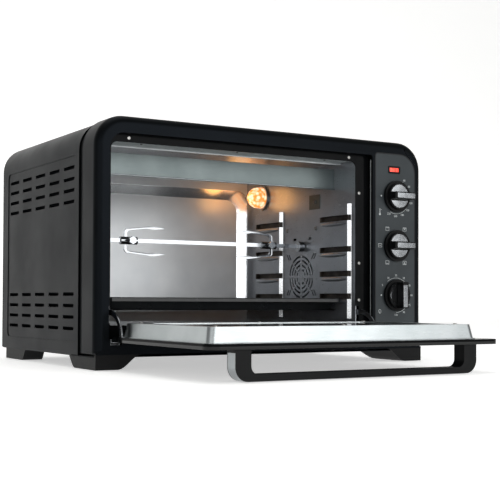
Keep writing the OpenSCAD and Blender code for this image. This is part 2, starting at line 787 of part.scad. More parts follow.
// Thumb screw that clamps a fork to the rod, its head towards the door
module fork_screw(x) {
    rod_y(spit_y - 15, spit_y - rod_w / 2 - 0.35, x, spit_z, 2);
    rod_y(spit_y - 11, spit_y - 8, x, spit_z, 3.6);
    difference() {
        rod_y(spit_y - 16, spit_y - 11, x, spit_z, 6);
        for (k = [0 : 5]) translate([x, 0, spit_z]) rotate([0, k * 60, 0])
            rod_y(spit_y - 17, spit_y - 10, 7.2, 0, 2);
    }
}

module fork_screw_left() color(chrome_c) fork_screw(fork_left_x + 7);

module fork_screw_right() color(chrome_c) fork_screw(fork_right_x - 7);

// ---- Controls ------------------------------------------------------------

// Box behind the panel whose threaded neck passes through it
module control_unit(z, w, d) {
    y0 = front + ctl_t;
    difference() {
        union() {
            box([knob_x - w / 2, y0, z - w / 2], [knob_x + w / 2, y0 + d, z + w / 2]);
            rod_y(front, y0, knob_x, z, shaft_r + 1.3);
            for (x = [knob_x - w / 4, knob_x + w / 4])
                box([x - 3, y0 + d, z - 0.4], [x + 3, y0 + d + 8, z + 0.4]);
        }
        rod_y(front - 1, y0 + d - 3, knob_x, z, shaft_r + run_gap);
    }
}

module thermostat_unit() color("#c9c2ae") control_unit(knob_mid + knob_pitch, unit_w, unit_d);

module selector_unit() color("#d8d8d4") control_unit(knob_mid, unit_w, unit_d + 6);

module timer_unit() color(steel_c) control_unit(knob_mid - knob_pitch, unit_w + 6, unit_d + 8);

module control_shaft(z) {
    rod_y(front - knob_h + 6, front + ctl_t + unit_d - 4, knob_x, z, shaft_r);
}

module thermostat_shaft() color(steel_c) control_shaft(knob_mid + knob_pitch);

module selector_shaft() color(steel_c) control_shaft(knob_mid);

module timer_shaft() color(steel_c) control_shaft(knob_mid - knob_pitch);

dish_y = 8;
bar_w = 11;

// Knob with a wide skirt, a dished face and a grip bar across it
module knob(z, turn) {
    translate([knob_x, front, z]) rotate([0, turn, 0]) difference() {
        union() {
            rod_y(-5, -knob_gap, 0, 0, knob_r);
            rod_y(-dish_y - 2.5, -4, 0, 0, knob_r - 4);
            intersection() {
                along_y(-knob_h, -4) round2d(-knob_r + 3, knob_r - 3, -bar_w / 2, bar_w / 2, 1.5);
                rod_y(-knob_h - 1, 0, 0, 0, knob_r - 4);
            }
        }
        for (s = [-1, 1]) along_y(-dish_y - 3, -dish_y) knob_half_moon(s, 0);
        along_y(-knob_h - 1, -knob_h + 1.2) knob_bar_face(0);
        rod_y(-knob_h + 6, 0, 0, 0, shaft_r);
    }
}

// Segment of the dish above or below the grip bar
module knob_half_moon(s, inset) {
    intersection() {
        circle(r = knob_r - 6.5 - inset);
        translate([-knob_r, s > 0 ? bar_w / 2 + 1 + inset : -knob_r - bar_w / 2 - 1 - inset])
            square([2 * knob_r, knob_r]);
    }
}

module knob_bar_face(inset) {
    round2d(-knob_r + 9 + inset, knob_r - 6 - inset, -bar_w / 2 + 1.4 + inset, bar_w / 2 - 1.4 - inset, 1.2);
}

// Plated inserts: one in each half of the dish and one along the grip
module knob_trim(z, turn) {
    translate([knob_x, front, z]) rotate([0, turn, 0]) {
        for (s = [-1, 1]) along_y(-dish_y - 1.5, -dish_y) knob_half_moon(s, 0.1);
        along_y(-knob_h, -knob_h + 1.2) knob_bar_face(0.1);
    }
}

module thermostat_knob() color("#101112") knob(knob_mid + knob_pitch, 0);

module selector_knob() color("#101112") knob(knob_mid, 0);

module timer_knob() color("#101112") knob(knob_mid - knob_pitch, 90);

module thermostat_knob_trim() color(chrome_c) knob_trim(knob_mid + knob_pitch, 0);

module selector_knob_trim() color(chrome_c) knob_trim(knob_mid, 0);

module timer_knob_trim() color(chrome_c) knob_trim(knob_mid - knob_pitch, 90);

module pilot_lens() color("#e03020") {
    along_y(front + 0.4, front + 12) round2d(knob_x - 14.2, knob_x + 6.2, pilot_z - 4.2, pilot_z + 4.2, 1.5);
    along_y(front + ctl_t, front + 4) round2d(knob_x - 17, knob_x + 9, pilot_z - 7, pilot_z + 7, 1.5);
}

// ---- Trays ---------------------------------------------------------------

// Black enamelled tray: a flat rim that rests on the lowest ledges, and a sunk floor
module baking_tray() color(enamel_black) difference() {
    union() {
        along_z(tray_z, tray_z + 1.2) round2d(cav_x0 + 2, cav_x1 - 2, tray_y0, tray_y1, 17);
        along_z(tray_z - tray_d, tray_z) round2d(cav_x0 + 11, cav_x1 - 11, tray_y0 + 9, tray_y1 - 9, 14);
        box([cav_x0 + 32, tray_y0, tray_z - 6], [cav_x1 - 32, tray_y0 + 1.2, tray_z]);
    }
    along_z(tray_z - tray_d + 1.2, tray_z + 2)
        round2d(cav_x0 + 12.2, cav_x1 - 12.2, tray_y0 + 10.2, tray_y1 - 10.2, 13);
}

module crumb_tray() color(steel_c) difference() {
    box([cav_x0 + 2, cav_y0 + 22, floor_z + 0.2], [cav_x1 - 2, cav_y1 - 4, floor_z + 5.2]);
    box([cav_x0 + 3, cav_y0 + 23, floor_z + 1.2], [cav_x1 - 3, cav_y1 - 5, floor_z + 6]);
}

// ---- Door ----------------------------------------------------------------

module door_outline() {
    panel2d(door_x0, door_x1, door_y0, door_y1, 4, 4, 20, 8);
}

module door_glass() color("#0a0b0c", 0.9) difference() {
    along_z(door_z0, door_z1) door_outline();
    for (p = handle_spots()) rod_z(door_z0 - 1, door_z1 + 1, p[0], p[1], 2.1);
}

// Window through the frame and the pan
module door_window(grow) {
    round2d(pan_x0 + pan_rim - grow, pan_x1 - pan_rim + grow, pan_y0 + pan_rim - grow,
        pan_y1 - pan_rim + grow, 10);
}

module door_frame() color(enamel_black) difference() {
    along_z(door_z1, door_z2) door_outline();
    along_z(door_z1 - 1, door_z2 + 1) door_window(0);
    for (x = hinge_centres())
        box([x - ear_w / 2 - 0.1, door_y1 - 21, door_z1 - 1],
            [x + ear_w / 2 + 0.1, door_y1 + 1, door_z2 + 1]);
    for (p = handle_spots()) {
        rod_z(door_z1 - 1, door_z2 + 1, p[0], p[1], 2.1);
        rod_z(door_z2 - 1.4, door_z2 + 1, p[0], p[1], 4.1);
    }
}

// Drawn pan with tapering walls that closes the opening
module door_inner_pan() color("#d5d8da") difference() {
    union() {
        hull() {
            along_z(door_z2, door_z2 + 0.1) round2d(pan_x0, pan_x1, pan_y0, pan_y1, 10);
            along_z(pan_z - 0.1, pan_z)
                round2d(pan_x0 + pan_draft, pan_x1 - pan_draft, pan_y0 + pan_draft, pan_y1 - pan_draft, 10);
        }
        along_z(door_z2, door_z2 + sheet_t)
            round2d(pan_x0 - pan_lip, pan_x1 + pan_lip, pan_y0 - pan_lip, pan_y1 + pan_lip, 11);
    }
    hull() {
        along_z(door_z2 - 0.1, door_z2)
            round2d(pan_x0 + sheet_t, pan_x1 - sheet_t, pan_y0 + sheet_t, pan_y1 - sheet_t, 9);
        along_z(pan_z - sheet_t - 0.1, pan_z - sheet_t)
            round2d(pan_x0 + pan_draft + sheet_t, pan_x1 - pan_draft - sheet_t,
                pan_y0 + pan_draft + sheet_t, pan_y1 - pan_draft - sheet_t, 9);
    }
    along_z(pan_z - 5, pan_z + 1) door_window(0);
    for (p = pan_screw_spots()) rod_z(pan_z - 5, pan_z + 1, p[0], p[1], 1.6);
}

inner_glass_t = 4;

module door_inner_glass() color("#303030", 0.5)
    along_z(pan_z - sheet_t - inner_glass_t, pan_z - sheet_t) difference() {
        door_window(9);
        for (p = pan_screw_spots()) translate(p) circle(r = 2);
    }

function pan_screw_spots() = [
    for (x = [pan_x0 + pan_rim - 6, (pan_x0 + pan_x1) / 2, pan_x1 - pan_rim + 6],
        y = [pan_y0 + pan_rim - 6, pan_y1 - pan_rim + 6]) [x, y]
];

handle_x0 = door_x0 + handle_in;
handle_x1 = door_x1 - handle_in;

function handle_spots() = [
    for (x = [handle_x0 + handle_w / 2, handle_x1 - handle_w / 2]) [x, handle_y0 + 6]
];

// Screws on the pan's rim and the pair that hold the handle through the glass
module door_screws() color(chrome_c) {
    for (p = pan_screw_spots()) {
        rod_z(pan_z - 6, pan_z, p[0], p[1], 1.5);
        rod_z(pan_z, pan_z + 1.3, p[0], p[1], 3);
    }
    for (p = handle_spots()) {
        rod_z(door_z0 - 12, door_z2 - 0.2, p[0], p[1], 2);
        rod_z(door_z2 - 1.4, door_z2 - 0.2, p[0], p[1], 4);
    }
}

module handle_outline(inset) {
    panel2d(handle_x0 + inset, handle_x1 - inset, handle_z0 + inset, door_z0 - inset, 0.5, 0.5,
        handle_r - inset, handle_r - inset);
}

module handle_inner() {
    panel2d(handle_x0 + handle_w, handle_x1 - handle_w, handle_z0 + handle_bar, door_z0 + 9, 1, 1, 10, 10);
}

trim_t = 0.8;

// Region of each end that the metal strip covers
module trim_region() {
    for (x = [handle_x0 - 1, handle_x1 - 13]) translate([x, handle_z0 - 1]) square([14, handle_drop - 3]);
}

// U-shaped bar hanging below the open door
module door_handle() color("#141617") difference() {
    along_y(handle_y0, handle_y0 + handle_d) difference() {
        handle_outline(0);
        handle_inner();
    }
    along_y(handle_y0 + 1, handle_y0 + handle_d - 1) intersection() {
        difference() {
            handle_outline(-1);
            handle_outline(trim_t);
        }
        trim_region();
    }
    for (p = handle_spots()) rod_z(door_z0 - 13, door_z0 + 1, p[0], p[1], 2);
}

module handle_end_trims() color("#aeb4b6") along_y(handle_y0 + 1.1, handle_y0 + handle_d - 1.1)
    intersection() {
        difference() {
            handle_outline(0);
            handle_outline(trim_t);
        }
        trim_region();
    }

// ---- Hinges --------------------------------------------------------------

// Ear that turns on the pin, and the curved arm that enters the slot in the flange
module hinge_arms() color(chrome_c) {
    for (x = hinge_centres()) along_x(x - ear_w / 2, x + ear_w / 2) difference() {
        union() {
            translate([hinge_y, hinge_z]) circle(r = hinge_pin_r + 1.8);
            translate([door_y1 + 0.3, hinge_z + 1.5]) square([hinge_y + 1 - door_y1 - 0.3, seat - 1.5]);
            translate([door_y1 - 20, door_z1 + 0.2]) square([hinge_y - door_y1 + 20, frame_t - 0.2]);
        }
        translate([hinge_y, hinge_z]) circle(r = hinge_pin_r + run_gap);
    }
    curved_arm(arm_x0, arm_x0, arm_x0 + 4.3);
    curved_arm(arm_x1, pan_x1 + pan_lip + 1.3, arm_x1 + arm_t);
}

// Arc about the hinge line from the door up to the slot, with a foot on the door frame
module curved_arm(x, foot_x0, foot_x1) {
    along_x(x, x + arm_t) intersection() {
        translate([hinge_y, hinge_z]) difference() {
            circle(r = arm_r + arm_w / 2);
            circle(r = arm_r - arm_w / 2);
        }
        translate([hinge_y, hinge_z]) polygon([
            [0, 0], for (a = [77, 110, 140, 172]) 90 * [cos(a), sin(a)]]);
        translate([hinge_y - 90, door_z2]) square([180, 90]);
    }
    box([foot_x0, hinge_y - arm_r - 7, door_z2], [foot_x1, hinge_y - arm_r + 7, door_z2 + sheet_t]);
}

// Bracket behind the bottom rail with two tabs and the pin between them
module hinge_brackets() color(steel_c) for (x = hinge_centres()) {
    for (s = [-1, 1]) {
        x0 = x + s * (ear_w / 2 + 0.8 + tab_t / 2) - tab_t / 2;
        along_x(x0, x0 + tab_t) {
            translate([hinge_y, hinge_z]) circle(r = 3.4);
            translate([hinge_y, hinge_z - 12]) square([recess_d - 5, 13]);
        }
    }
    box([x - 8.5, flange_y - 1.5, hinge_z - 12], [x + 8.5, flange_y, hinge_z - 3]);
    rod_x(x - 8.5, x + 8.5, hinge_y, hinge_z, hinge_pin_r);
}

// ---- Output --------------------------------------------------------------

front_bezel();
control_panel();
outer_shell();
back_panel();
base_plate();
front_feet();
rear_feet();
foot_pads();
body_screws();
cord_inlet();
front_flange();
cavity_top();
cavity_back();
cavity_floor();
cavity_side_left();
cavity_side_right();
wall_cover_plate();
upper_heat_shield();
upper_heating_element();
lower_heating_element();
element_bushes();
cavity_screws();
lamp_dome();
lamp_holder();
lamp_bulb();
fan_impeller();
fan_housing();
fan_motor();
spit_motor();
spit_drive_socket();
spit_rest();
spit_rod();
spit_fork_left();
spit_fork_right();
fork_screw_left();
fork_screw_right();
thermostat_unit();
selector_unit();
timer_unit();
thermostat_shaft();
selector_shaft();
timer_shaft();
thermostat_knob();
selector_knob();
timer_knob();
thermostat_knob_trim();
selector_knob_trim();
timer_knob_trim();
pilot_lens();
baking_tray();
crumb_tray();
door_glass();
door_frame();
door_inner_pan();
door_inner_glass();
door_screws();
door_handle();
handle_end_trims();
hinge_arms();
hinge_brackets();
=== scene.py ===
from math import cos, pi, radians, sin

import bpy
from mathutils import Matrix, Vector


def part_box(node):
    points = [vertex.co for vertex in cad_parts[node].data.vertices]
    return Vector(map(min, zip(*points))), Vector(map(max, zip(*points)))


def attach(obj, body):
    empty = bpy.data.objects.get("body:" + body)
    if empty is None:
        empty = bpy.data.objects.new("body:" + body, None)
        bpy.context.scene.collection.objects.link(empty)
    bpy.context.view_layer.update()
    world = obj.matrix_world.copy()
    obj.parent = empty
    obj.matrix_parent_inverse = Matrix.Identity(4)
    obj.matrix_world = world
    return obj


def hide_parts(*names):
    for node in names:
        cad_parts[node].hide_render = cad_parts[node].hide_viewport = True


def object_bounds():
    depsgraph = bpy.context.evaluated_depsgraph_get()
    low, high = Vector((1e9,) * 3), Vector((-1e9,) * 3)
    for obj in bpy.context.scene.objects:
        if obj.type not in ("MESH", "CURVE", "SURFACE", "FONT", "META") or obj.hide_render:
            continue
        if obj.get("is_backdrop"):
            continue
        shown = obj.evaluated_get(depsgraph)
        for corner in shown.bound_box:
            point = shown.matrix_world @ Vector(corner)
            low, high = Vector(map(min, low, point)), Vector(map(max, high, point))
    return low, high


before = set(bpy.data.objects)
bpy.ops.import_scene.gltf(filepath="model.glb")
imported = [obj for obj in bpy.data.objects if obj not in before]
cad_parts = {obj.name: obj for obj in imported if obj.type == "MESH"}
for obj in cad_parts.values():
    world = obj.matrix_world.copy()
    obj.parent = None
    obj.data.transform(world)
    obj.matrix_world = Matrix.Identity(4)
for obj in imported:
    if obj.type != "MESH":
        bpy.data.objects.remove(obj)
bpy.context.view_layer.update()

# ---- Stage -----------------------------------------------------------------
# A pale matt floor under white room light, with soft boxes above, in front and
# to the left, and one camera just above the worktop on the oven's left.

mm = 0.001


def linear(code):
    """An sRGB hex colour as the linear red, green, blue and alpha that shaders take."""
    parts = [int(code[i : i + 2], 16) / 255 for i in (0, 2, 4)]
    return [c / 12.92 if c <= 0.04045 else ((c + 0.055) / 1.055) ** 2.4 for c in parts] + [1]


def add_node(material, kind, settings=None, **links):
    """Adds one shader node, sets its properties and inputs, and links its inputs to outputs."""
    node = material.node_tree.nodes.new(kind)
    for name, value in (settings or {}).items():
        if hasattr(node, name):
            setattr(node, name, value)
        else:
            node.inputs[name].default_value = value
    for name, output in links.items():
        material.node_tree.links.new(output, node.inputs[name.replace("_", " ")])
    return node


def start_material(name, colour, roughness, metallic=0.0, **rest):
    """A material with one Principled shader whose plain values are set on its own sockets."""
    material = bpy.data.materials.new(name)
    material.use_nodes = True
    shader = material.node_tree.nodes["Principled BSDF"]
    shader.inputs["Base Color"].default_value = linear(colour)
    shader.inputs["Roughness"].default_value = roughness
    shader.inputs["Metallic"].default_value = metallic
    for key, value in rest.items():
        shader.inputs[key.replace("_", " ")].default_value = value
    return material, shader


def noise(material, grain, detail=2.0, along=(1, 1, 1)):
    """Noise whose grains have this size in metres, drawn out along the axes by these factors."""
    place = add_node(material, "ShaderNodeTexCoord")
    sized = add_node(material, "ShaderNodeMapping", {"Scale": [1 / (grain * a) for a in along]},
                     Vector=place.outputs["Object"])
    return add_node(material, "ShaderNodeTexNoise", {"Scale": 1.0, "Detail": detail},
                    Vector=sized.outputs["Vector"]).outputs["Fac"]


def blend_colours(material, factor, dark, light):
    """A colour that runs from dark to light over the middle of the factor's range."""
    ramp = add_node(material, "ShaderNodeValToRGB", Fac=factor)
    ramp.color_ramp.elements[0].position = 0.3
    ramp.color_ramp.elements[0].color = linear(dark)
    ramp.color_ramp.elements[1].position = 0.7
    ramp.color_ramp.elements[1].color = linear(light)
    return ramp.outputs["Color"]


def finish_shader(material, shader, **outputs):
    """Links these outputs to the shader's inputs of the same names."""
    for key, output in outputs.items():
        material.node_tree.links.new(output, shader.inputs[key.replace("_", " ")])


def start_mesh(name):
    """Names the primitive that was just added."""
    piece = bpy.context.object
    piece.name = piece.data.name = name
    return piece


def select_where(piece, part, test):
    """In edit mode, selects only the faces, edges or vertices that pass, and counts them."""
    bpy.context.view_layer.objects.active = piece
    bpy.ops.object.mode_set(mode="EDIT")
    modes = {"faces": "FACE", "edges": "EDGE", "vertices": "VERT"}
    bpy.ops.mesh.select_mode(type=modes[part])
    bpy.ops.mesh.select_all(action="DESELECT")
    bpy.ops.object.mode_set(mode="OBJECT")
    items = piece.data.polygons if part == "faces" else getattr(piece.data, part)
    chosen = [item for item in items if test(item)]
    for item in chosen:
        item.select = True
    bpy.ops.object.mode_set(mode="EDIT")
    return len(chosen)


def both_ends(piece, test):
    """A test for edges whose two end points both pass."""
    return lambda edge: all(test(piece.data.vertices[i].co) for i in edge.vertices)


bpy.ops.object.select_all(action="DESELECT")
bpy.ops.mesh.primitive_plane_add(size=16, location=(0, -2, 0))
floor = start_mesh("studio_floor")
wall_height = 6
select_where(floor, "edges", both_ends(floor, lambda point: point.y > 0))
bpy.ops.mesh.extrude_region_move(TRANSFORM_OT_translate={"value": (0, 0, wall_height)})
bpy.ops.object.mode_set(mode="OBJECT")
# Matt floor paint with faint clouds. A little light of its own keeps it white.
floor_paint, shader = start_material("matt_white_floor_paint", "F4F4F2", 0.7,
                                     Emission_Color=linear("FFFFFF"), Emission_Strength=0.5)
clouds = noise(floor_paint, 30 * mm)
finish_shader(floor_paint, shader,
              Base_Color=blend_colours(floor_paint, clouds, "F2F2F0", "F6F6F4"))
floor.data.materials.append(floor_paint)
floor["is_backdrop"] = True

room = bpy.data.worlds.new("white_room")
bpy.context.scene.world = room
room.use_nodes = True
background = room.node_tree.nodes["Background"]
background.inputs["Color"].default_value = linear("FFFFFF")
background.inputs["Strength"].default_value = 0.3
bpy.context.scene.view_settings.view_transform = "Standard"


def soft_box(name, place, aim, width, height, power):
    """A rectangular area light at a place in metres, aimed at a point, with its power in watts."""
    bpy.ops.object.light_add(type="AREA", location=place)
    light = bpy.context.object
    light.name = name
    light.data.shape = "RECTANGLE"
    light.data.size = width
    light.data.size_y = height
    light.data.energy = power
    light.rotation_euler = (Vector(aim) - Vector(place)).to_track_quat("-Z", "Y").to_euler()


soft_box("top_soft_box", (-0.2, 0.1, 2.4), (0, 0.1, 0.1), 2.2, 1.8, 16)
soft_box("front_soft_box", (0.7, -3.2, 0.9), (0.1, 0, 0.2), 3.6, 1.7, 56)
soft_box("left_soft_box", (-2.4, -2.1, 0.8), (0, 0, 0.2), 2.3, 1.3, 14)

bpy.ops.object.camera_add()
camera = bpy.context.object
camera.name = "studio_camera"
camera.data.sensor_width = 36
camera.data.lens = 78.22
camera.data.shift_y = 0.0515
camera.data.clip_start = 0.05
camera.data.clip_end = 50
camera.matrix_world = (
    Matrix.Translation((-0.86133, -1.42435, 0.09484))
    @ Matrix.Rotation(radians(-31.001), 4, "Z")
    @ Matrix.Rotation(radians(1.364), 4, "X")
    @ Matrix.Rotation(radians(-0.215), 4, "Y")
    @ Matrix.Rotation(radians(90), 4, "X")
)
bpy.context.scene.camera = camera

# ---- Front bezel -----------------------------------------------------------
# A deep pressed steel frame, stoved satin black, with round corners and a soft
# outer edge. It carries the window, the control panel and the door's hinges.


def copy_of(node, name):
    """A copy of a CAD node's mesh that stands for it, with doubles merged and flats made whole."""
    bpy.ops.object.select_all(action="DESELECT")
    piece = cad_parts[node].copy()
    piece.data = piece.data.copy()
    piece.name = piece.data.name = name
    piece.parent = None
    for key in list(piece.keys()):
        del piece[key]
    bpy.context.scene.collection.objects.link(piece)
    bpy.context.view_layer.objects.active = piece
    piece.select_set(True)
    bpy.ops.object.mode_set(mode="EDIT")
    bpy.ops.mesh.select_all(action="SELECT")
    bpy.ops.mesh.remove_doubles(threshold=0.003 * mm)
    bpy.ops.mesh.dissolve_limited(angle_limit=radians(0.5))
    bpy.ops.object.mode_set(mode="OBJECT")
    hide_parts(node)
    return piece


def apply_modifier(piece, kind, **settings):
    """Adds a modifier with these settings and applies it."""
    modifier = piece.modifiers.new("shape", kind)
    for key, value in settings.items():
        setattr(modifier, key, value)
    bpy.context.view_layer.objects.active = piece
    bpy.ops.object.modifier_apply(modifier="shape")


def round_edges(piece, width, segments=2, angle=35):
    """Rounds edges sharper than the angle, and shades the piece smooth between sharp edges."""
    apply_modifier(piece, "BEVEL", width=width, segments=segments, limit_method="ANGLE",
                   angle_limit=radians(angle), use_clamp_overlap=True)
    smooth(piece, max(angle - 5, 5))


def smooth(piece, angle):
    """Smooth shading up to this angle, with large flats kept flat."""
    bpy.ops.object.select_all(action="DESELECT")
    piece.select_set(True)
    bpy.context.view_layer.objects.active = piece
    bpy.ops.object.shade_smooth_by_angle(angle=radians(angle))
    apply_modifier(piece, "WEIGHTED_NORMAL", keep_sharp=True)


def complete(piece, material, body="body"):
    """Gives a finished piece its material and lets it ride on a body."""
    piece.data.materials.clear()
    piece.data.materials.append(material)
    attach(piece, body)
    return piece


def spread(material, factor, low, high):
    """A number that runs from low to high with the factor."""
    span = {"From Min": 0.3, "From Max": 0.7, "To Min": low, "To Max": high}
    return add_node(material, "ShaderNodeMapRange", span, Value=factor).outputs["Result"]


def bump(material, height, strength, depth):
    """A surface normal from a height, whose full depth is in metres."""
    return add_node(material, "ShaderNodeBump", {"Strength": strength, "Distance": depth},
                    Height=height).outputs["Normal"]


# Stoved satin paint on pressed steel: a soft even sheen with a very fine orange
# peel, a touch glossier in some places. The peel is drawn at 1.2 mm to show.
satin_black_paint, shader = start_material(
    "satin_black_stoved_paint", "060708", 0.4, Specular_IOR_Level=0.11, IOR=1.4,
    Specular_Tint=linear("D4E6FF"))
patches = noise(satin_black_paint, 70 * mm)
peel = noise(satin_black_paint, 1.2 * mm, 3)
finish_shader(satin_black_paint, shader,
              Base_Color=blend_colours(satin_black_paint, patches, "040505", "070808"),
              Roughness=spread(satin_black_paint, patches, 0.33, 0.43),
              Normal=bump(satin_black_paint, peel, 0.06, 0.05 * mm))

bezel_low, bezel_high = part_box("front_bezel")
front_y = bezel_low.y
bezel = copy_of("front_bezel", "bezel_frame")
outline_corner = 43 * mm
sheet_thickness = 2.2 * mm
return_depth = 3 * mm
outer_roll, inner_roll = 12 * mm, 9.6 * mm


def along_outline(y, inset):
    """A test for bezel edges at depth y that follow the outline above the feet, at this inset."""

    def test(edge):
        ends = [bezel.data.vertices[i].co for i in edge.vertices]
        middle = (ends[0] + ends[1]) / 2
        x = abs(middle.x) - bezel_high.x + outline_corner
        z = middle.z - bezel_high.z + outline_corner
        out = Vector((x, z)).length if x > 0 and z > 0 else max(x, z)
        at_depth = all(abs(end.y - y) < 0.1 * mm for end in ends)
        return at_depth and abs(out - outline_corner + inset) < 0.4 * mm

    return test


# The sheet is rolled back round its outline, on a larger radius outside than inside.
select_where(bezel, "edges", along_outline(front_y + return_depth, sheet_thickness))
bpy.ops.mesh.bevel(offset=inner_roll, segments=6)
bpy.ops.object.mode_set(mode="OBJECT")
select_where(bezel, "edges", along_outline(front_y, 0))
bpy.ops.mesh.bevel(offset=outer_roll, segments=10)
bpy.ops.object.mode_set(mode="OBJECT")
round_edges(bezel, 0.6 * mm)
# The slivers left where the two rolls run out above the feet are taken up.
bpy.ops.object.mode_set(mode="EDIT")
bpy.ops.mesh.select_mode(type="VERT")
bpy.ops.mesh.select_all(action="SELECT")
bpy.ops.mesh.dissolve_degenerate(threshold=0.03 * mm)
bpy.ops.object.mode_set(mode="OBJECT")
smooth(bezel, 30)
complete(bezel, satin_black_paint)

# ---- Outer shell -----------------------------------------------------------
# One sheet bent over the top and down both sides, joggled in behind the bezel.
# Each side has a pressed panel with two groups of louvres.


def rounded_copy(node, name, material, width, body="body", segments=2, angle=35):
    """A copy of a CAD node with its edges rounded, in its material and riding on its body."""
    piece = copy_of(node, name)
    round_edges(piece, width, segments, angle)
    return complete(piece, material, body)


rounded_copy("outer_shell", "shell_sheet", satin_black_paint, 0.35 * mm)

# Louvres: behind each slot the sheet is drawn inwards to a blade, open below.
panel_front = front_y + 76.5 * mm
column_pitch = 59.1 * mm
inner_face = 280.2 * mm
row_pitch, upper_row, lower_row = 16.4, 286, 55.5
louvre_rows = [(upper_row - row_pitch * row) * mm for row in range(4)]
louvre_rows += [(lower_row + row_pitch * row) * mm for row in range(4)]
blade_reach, blade_half_length, blade_half_height = 10 * mm, 23 * mm, 5.4 * mm
bpy.ops.object.select_all(action="DESELECT")
bpy.ops.mesh.primitive_uv_sphere_add(segments=24, ring_count=12, radius=1)
blade = start_mesh("louvre_blade")
bpy.ops.object.mode_set(mode="EDIT")
bpy.ops.mesh.select_all(action="SELECT")
bpy.ops.mesh.bisect(plane_co=(0, 0, 0), plane_no=(1, 0, 0), clear_outer=True)
bpy.ops.mesh.select_all(action="SELECT")
bpy.ops.mesh.bisect(plane_co=(0, 0, -0.7), plane_no=(0, 0, 1), clear_inner=True)
bpy.ops.object.mode_set(mode="OBJECT")
blade.data.transform(Matrix.Diagonal((blade_reach, blade_half_length, blade_half_height, 1)))
apply_modifier(blade, "SOLIDIFY", thickness=0.5 * mm, offset=1)


def repeat_mesh(pattern, places, name):
    """Joins one copy of the pattern's mesh for each placing matrix into a single piece."""
    bpy.ops.object.select_all(action="DESELECT")
    for place in places:
        each = pattern.copy()
        each.data = pattern.data.copy()
        each.data.transform(place)
        if place.determinant() < 0:
            each.data.flip_normals()
        bpy.context.scene.collection.objects.link(each)
        each.select_set(True)
        bpy.context.view_layer.objects.active = each
    bpy.ops.object.join()
    piece = bpy.context.object
    piece.name = piece.data.name = name
    return piece


blade_places = []
for side in (-1, 1):
    for column in range(5):
        y = panel_front + (column + 0.5) * column_pitch
        for z in louvre_rows:
            place = Matrix.Translation((side * inner_face, y, z + 1.2 * mm))
            blade_places.append(place @ Matrix.Diagonal((side, 1, 1, 1)))
blades = repeat_mesh(blade, blade_places, "louvre_blades")
bpy.data.objects.remove(blade)
smooth(blades, 50)
complete(blades, satin_black_paint)

# ---- Back panel and base ---------------------------------------------------
# Flat sheets with punched slots, both painted like the shell and held by
# cross-head screws. Some working parts inside are plain zinc plate.


def paint(material, *names):
    """Gives CAD nodes this material."""
    for name in names:
        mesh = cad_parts[name].data
        mesh.materials.clear()
        mesh.materials.append(material)


rounded_copy("back_panel", "back_sheet", satin_black_paint, 0.2 * mm)

# Zinc plate: pale grey metal with a faint crystal pattern of about 12 mm.
zinc_plate, shader = start_material("zinc_plated_sheet_steel", "A9ADB0", 0.42, 1.0)
place = add_node(zinc_plate, "ShaderNodeTexCoord")
crystals = add_node(zinc_plate, "ShaderNodeTexVoronoi", {"Scale": 1 / (12 * mm)},
                    Vector=place.outputs["Object"])
spangle = add_node(zinc_plate, "ShaderNodeSeparateColor",
                   Color=crystals.outputs["Color"]).outputs["Red"]
finish_shader(zinc_plate, shader,
              Base_Color=blend_colours(zinc_plate, spangle, "A2A6A9", "B4B8BB"),
              Roughness=spread(zinc_plate, spangle, 0.36, 0.48))
paint(satin_black_paint, "base_plate")
paint(zinc_plate, "spit_motor", "timer_unit", "hinge_brackets")

# ---- Feet ------------------------------------------------------------------
# Moulded black feet that sweep up into the skirt, each with a rubber pad below.
# The grommet where the cord enters at the back is moulded in the same black.

# Moulded ABS: even satin black with a fine spark-eroded grain, drawn at 0.8 mm.
moulded_black, shader = start_material("moulded_black_abs", "090A0B", 0.5, Specular_IOR_Level=0.14)
grain = noise(moulded_black, 0.8 * mm, 3)
flow = noise(moulded_black, 40 * mm)
finish_shader(moulded_black, shader,
              Base_Color=blend_colours(moulded_black, flow, "060708", "0B0C0D"),
              Roughness=spread(moulded_black, grain, 0.42, 0.55),
              Normal=bump(moulded_black, grain, 0.1, 0.05 * mm))

for node, name in (("front_feet", "front_foot_mouldings"), ("rear_feet", "rear_foot_mouldings")):
    rounded_copy(node, name, moulded_black, 0.8 * mm)

# Rubber: dull and dark, dusty where it has been handled.
# The same rubber makes the thin ring round the control panel, which is painted shade.
rubber_and_groove_shade, shader = start_material("black_nitrile_rubber_and_painted_groove_shade", "17181A", 0.85)
dust = noise(rubber_and_groove_shade, 3 * mm)
finish_shader(rubber_and_groove_shade, shader,
              Base_Color=blend_colours(rubber_and_groove_shade, dust, "131415", "1D1E20"),
              Normal=bump(rubber_and_groove_shade, noise(rubber_and_groove_shade, 0.7 * mm), 0.2, 0.05 * mm))
rounded_copy("foot_pads", "rubber_foot_pads", rubber_and_groove_shade, 0.5 * mm)

rounded_copy("cord_inlet", "cord_inlet_grommet", moulded_black, 0.25 * mm)

# ---- Screws ----------------------------------------------------------------
# Pan-head screws with a cross recess, in nickel-plated steel. The heads are
# turned and the recess is stamped; every screw group is one piece.

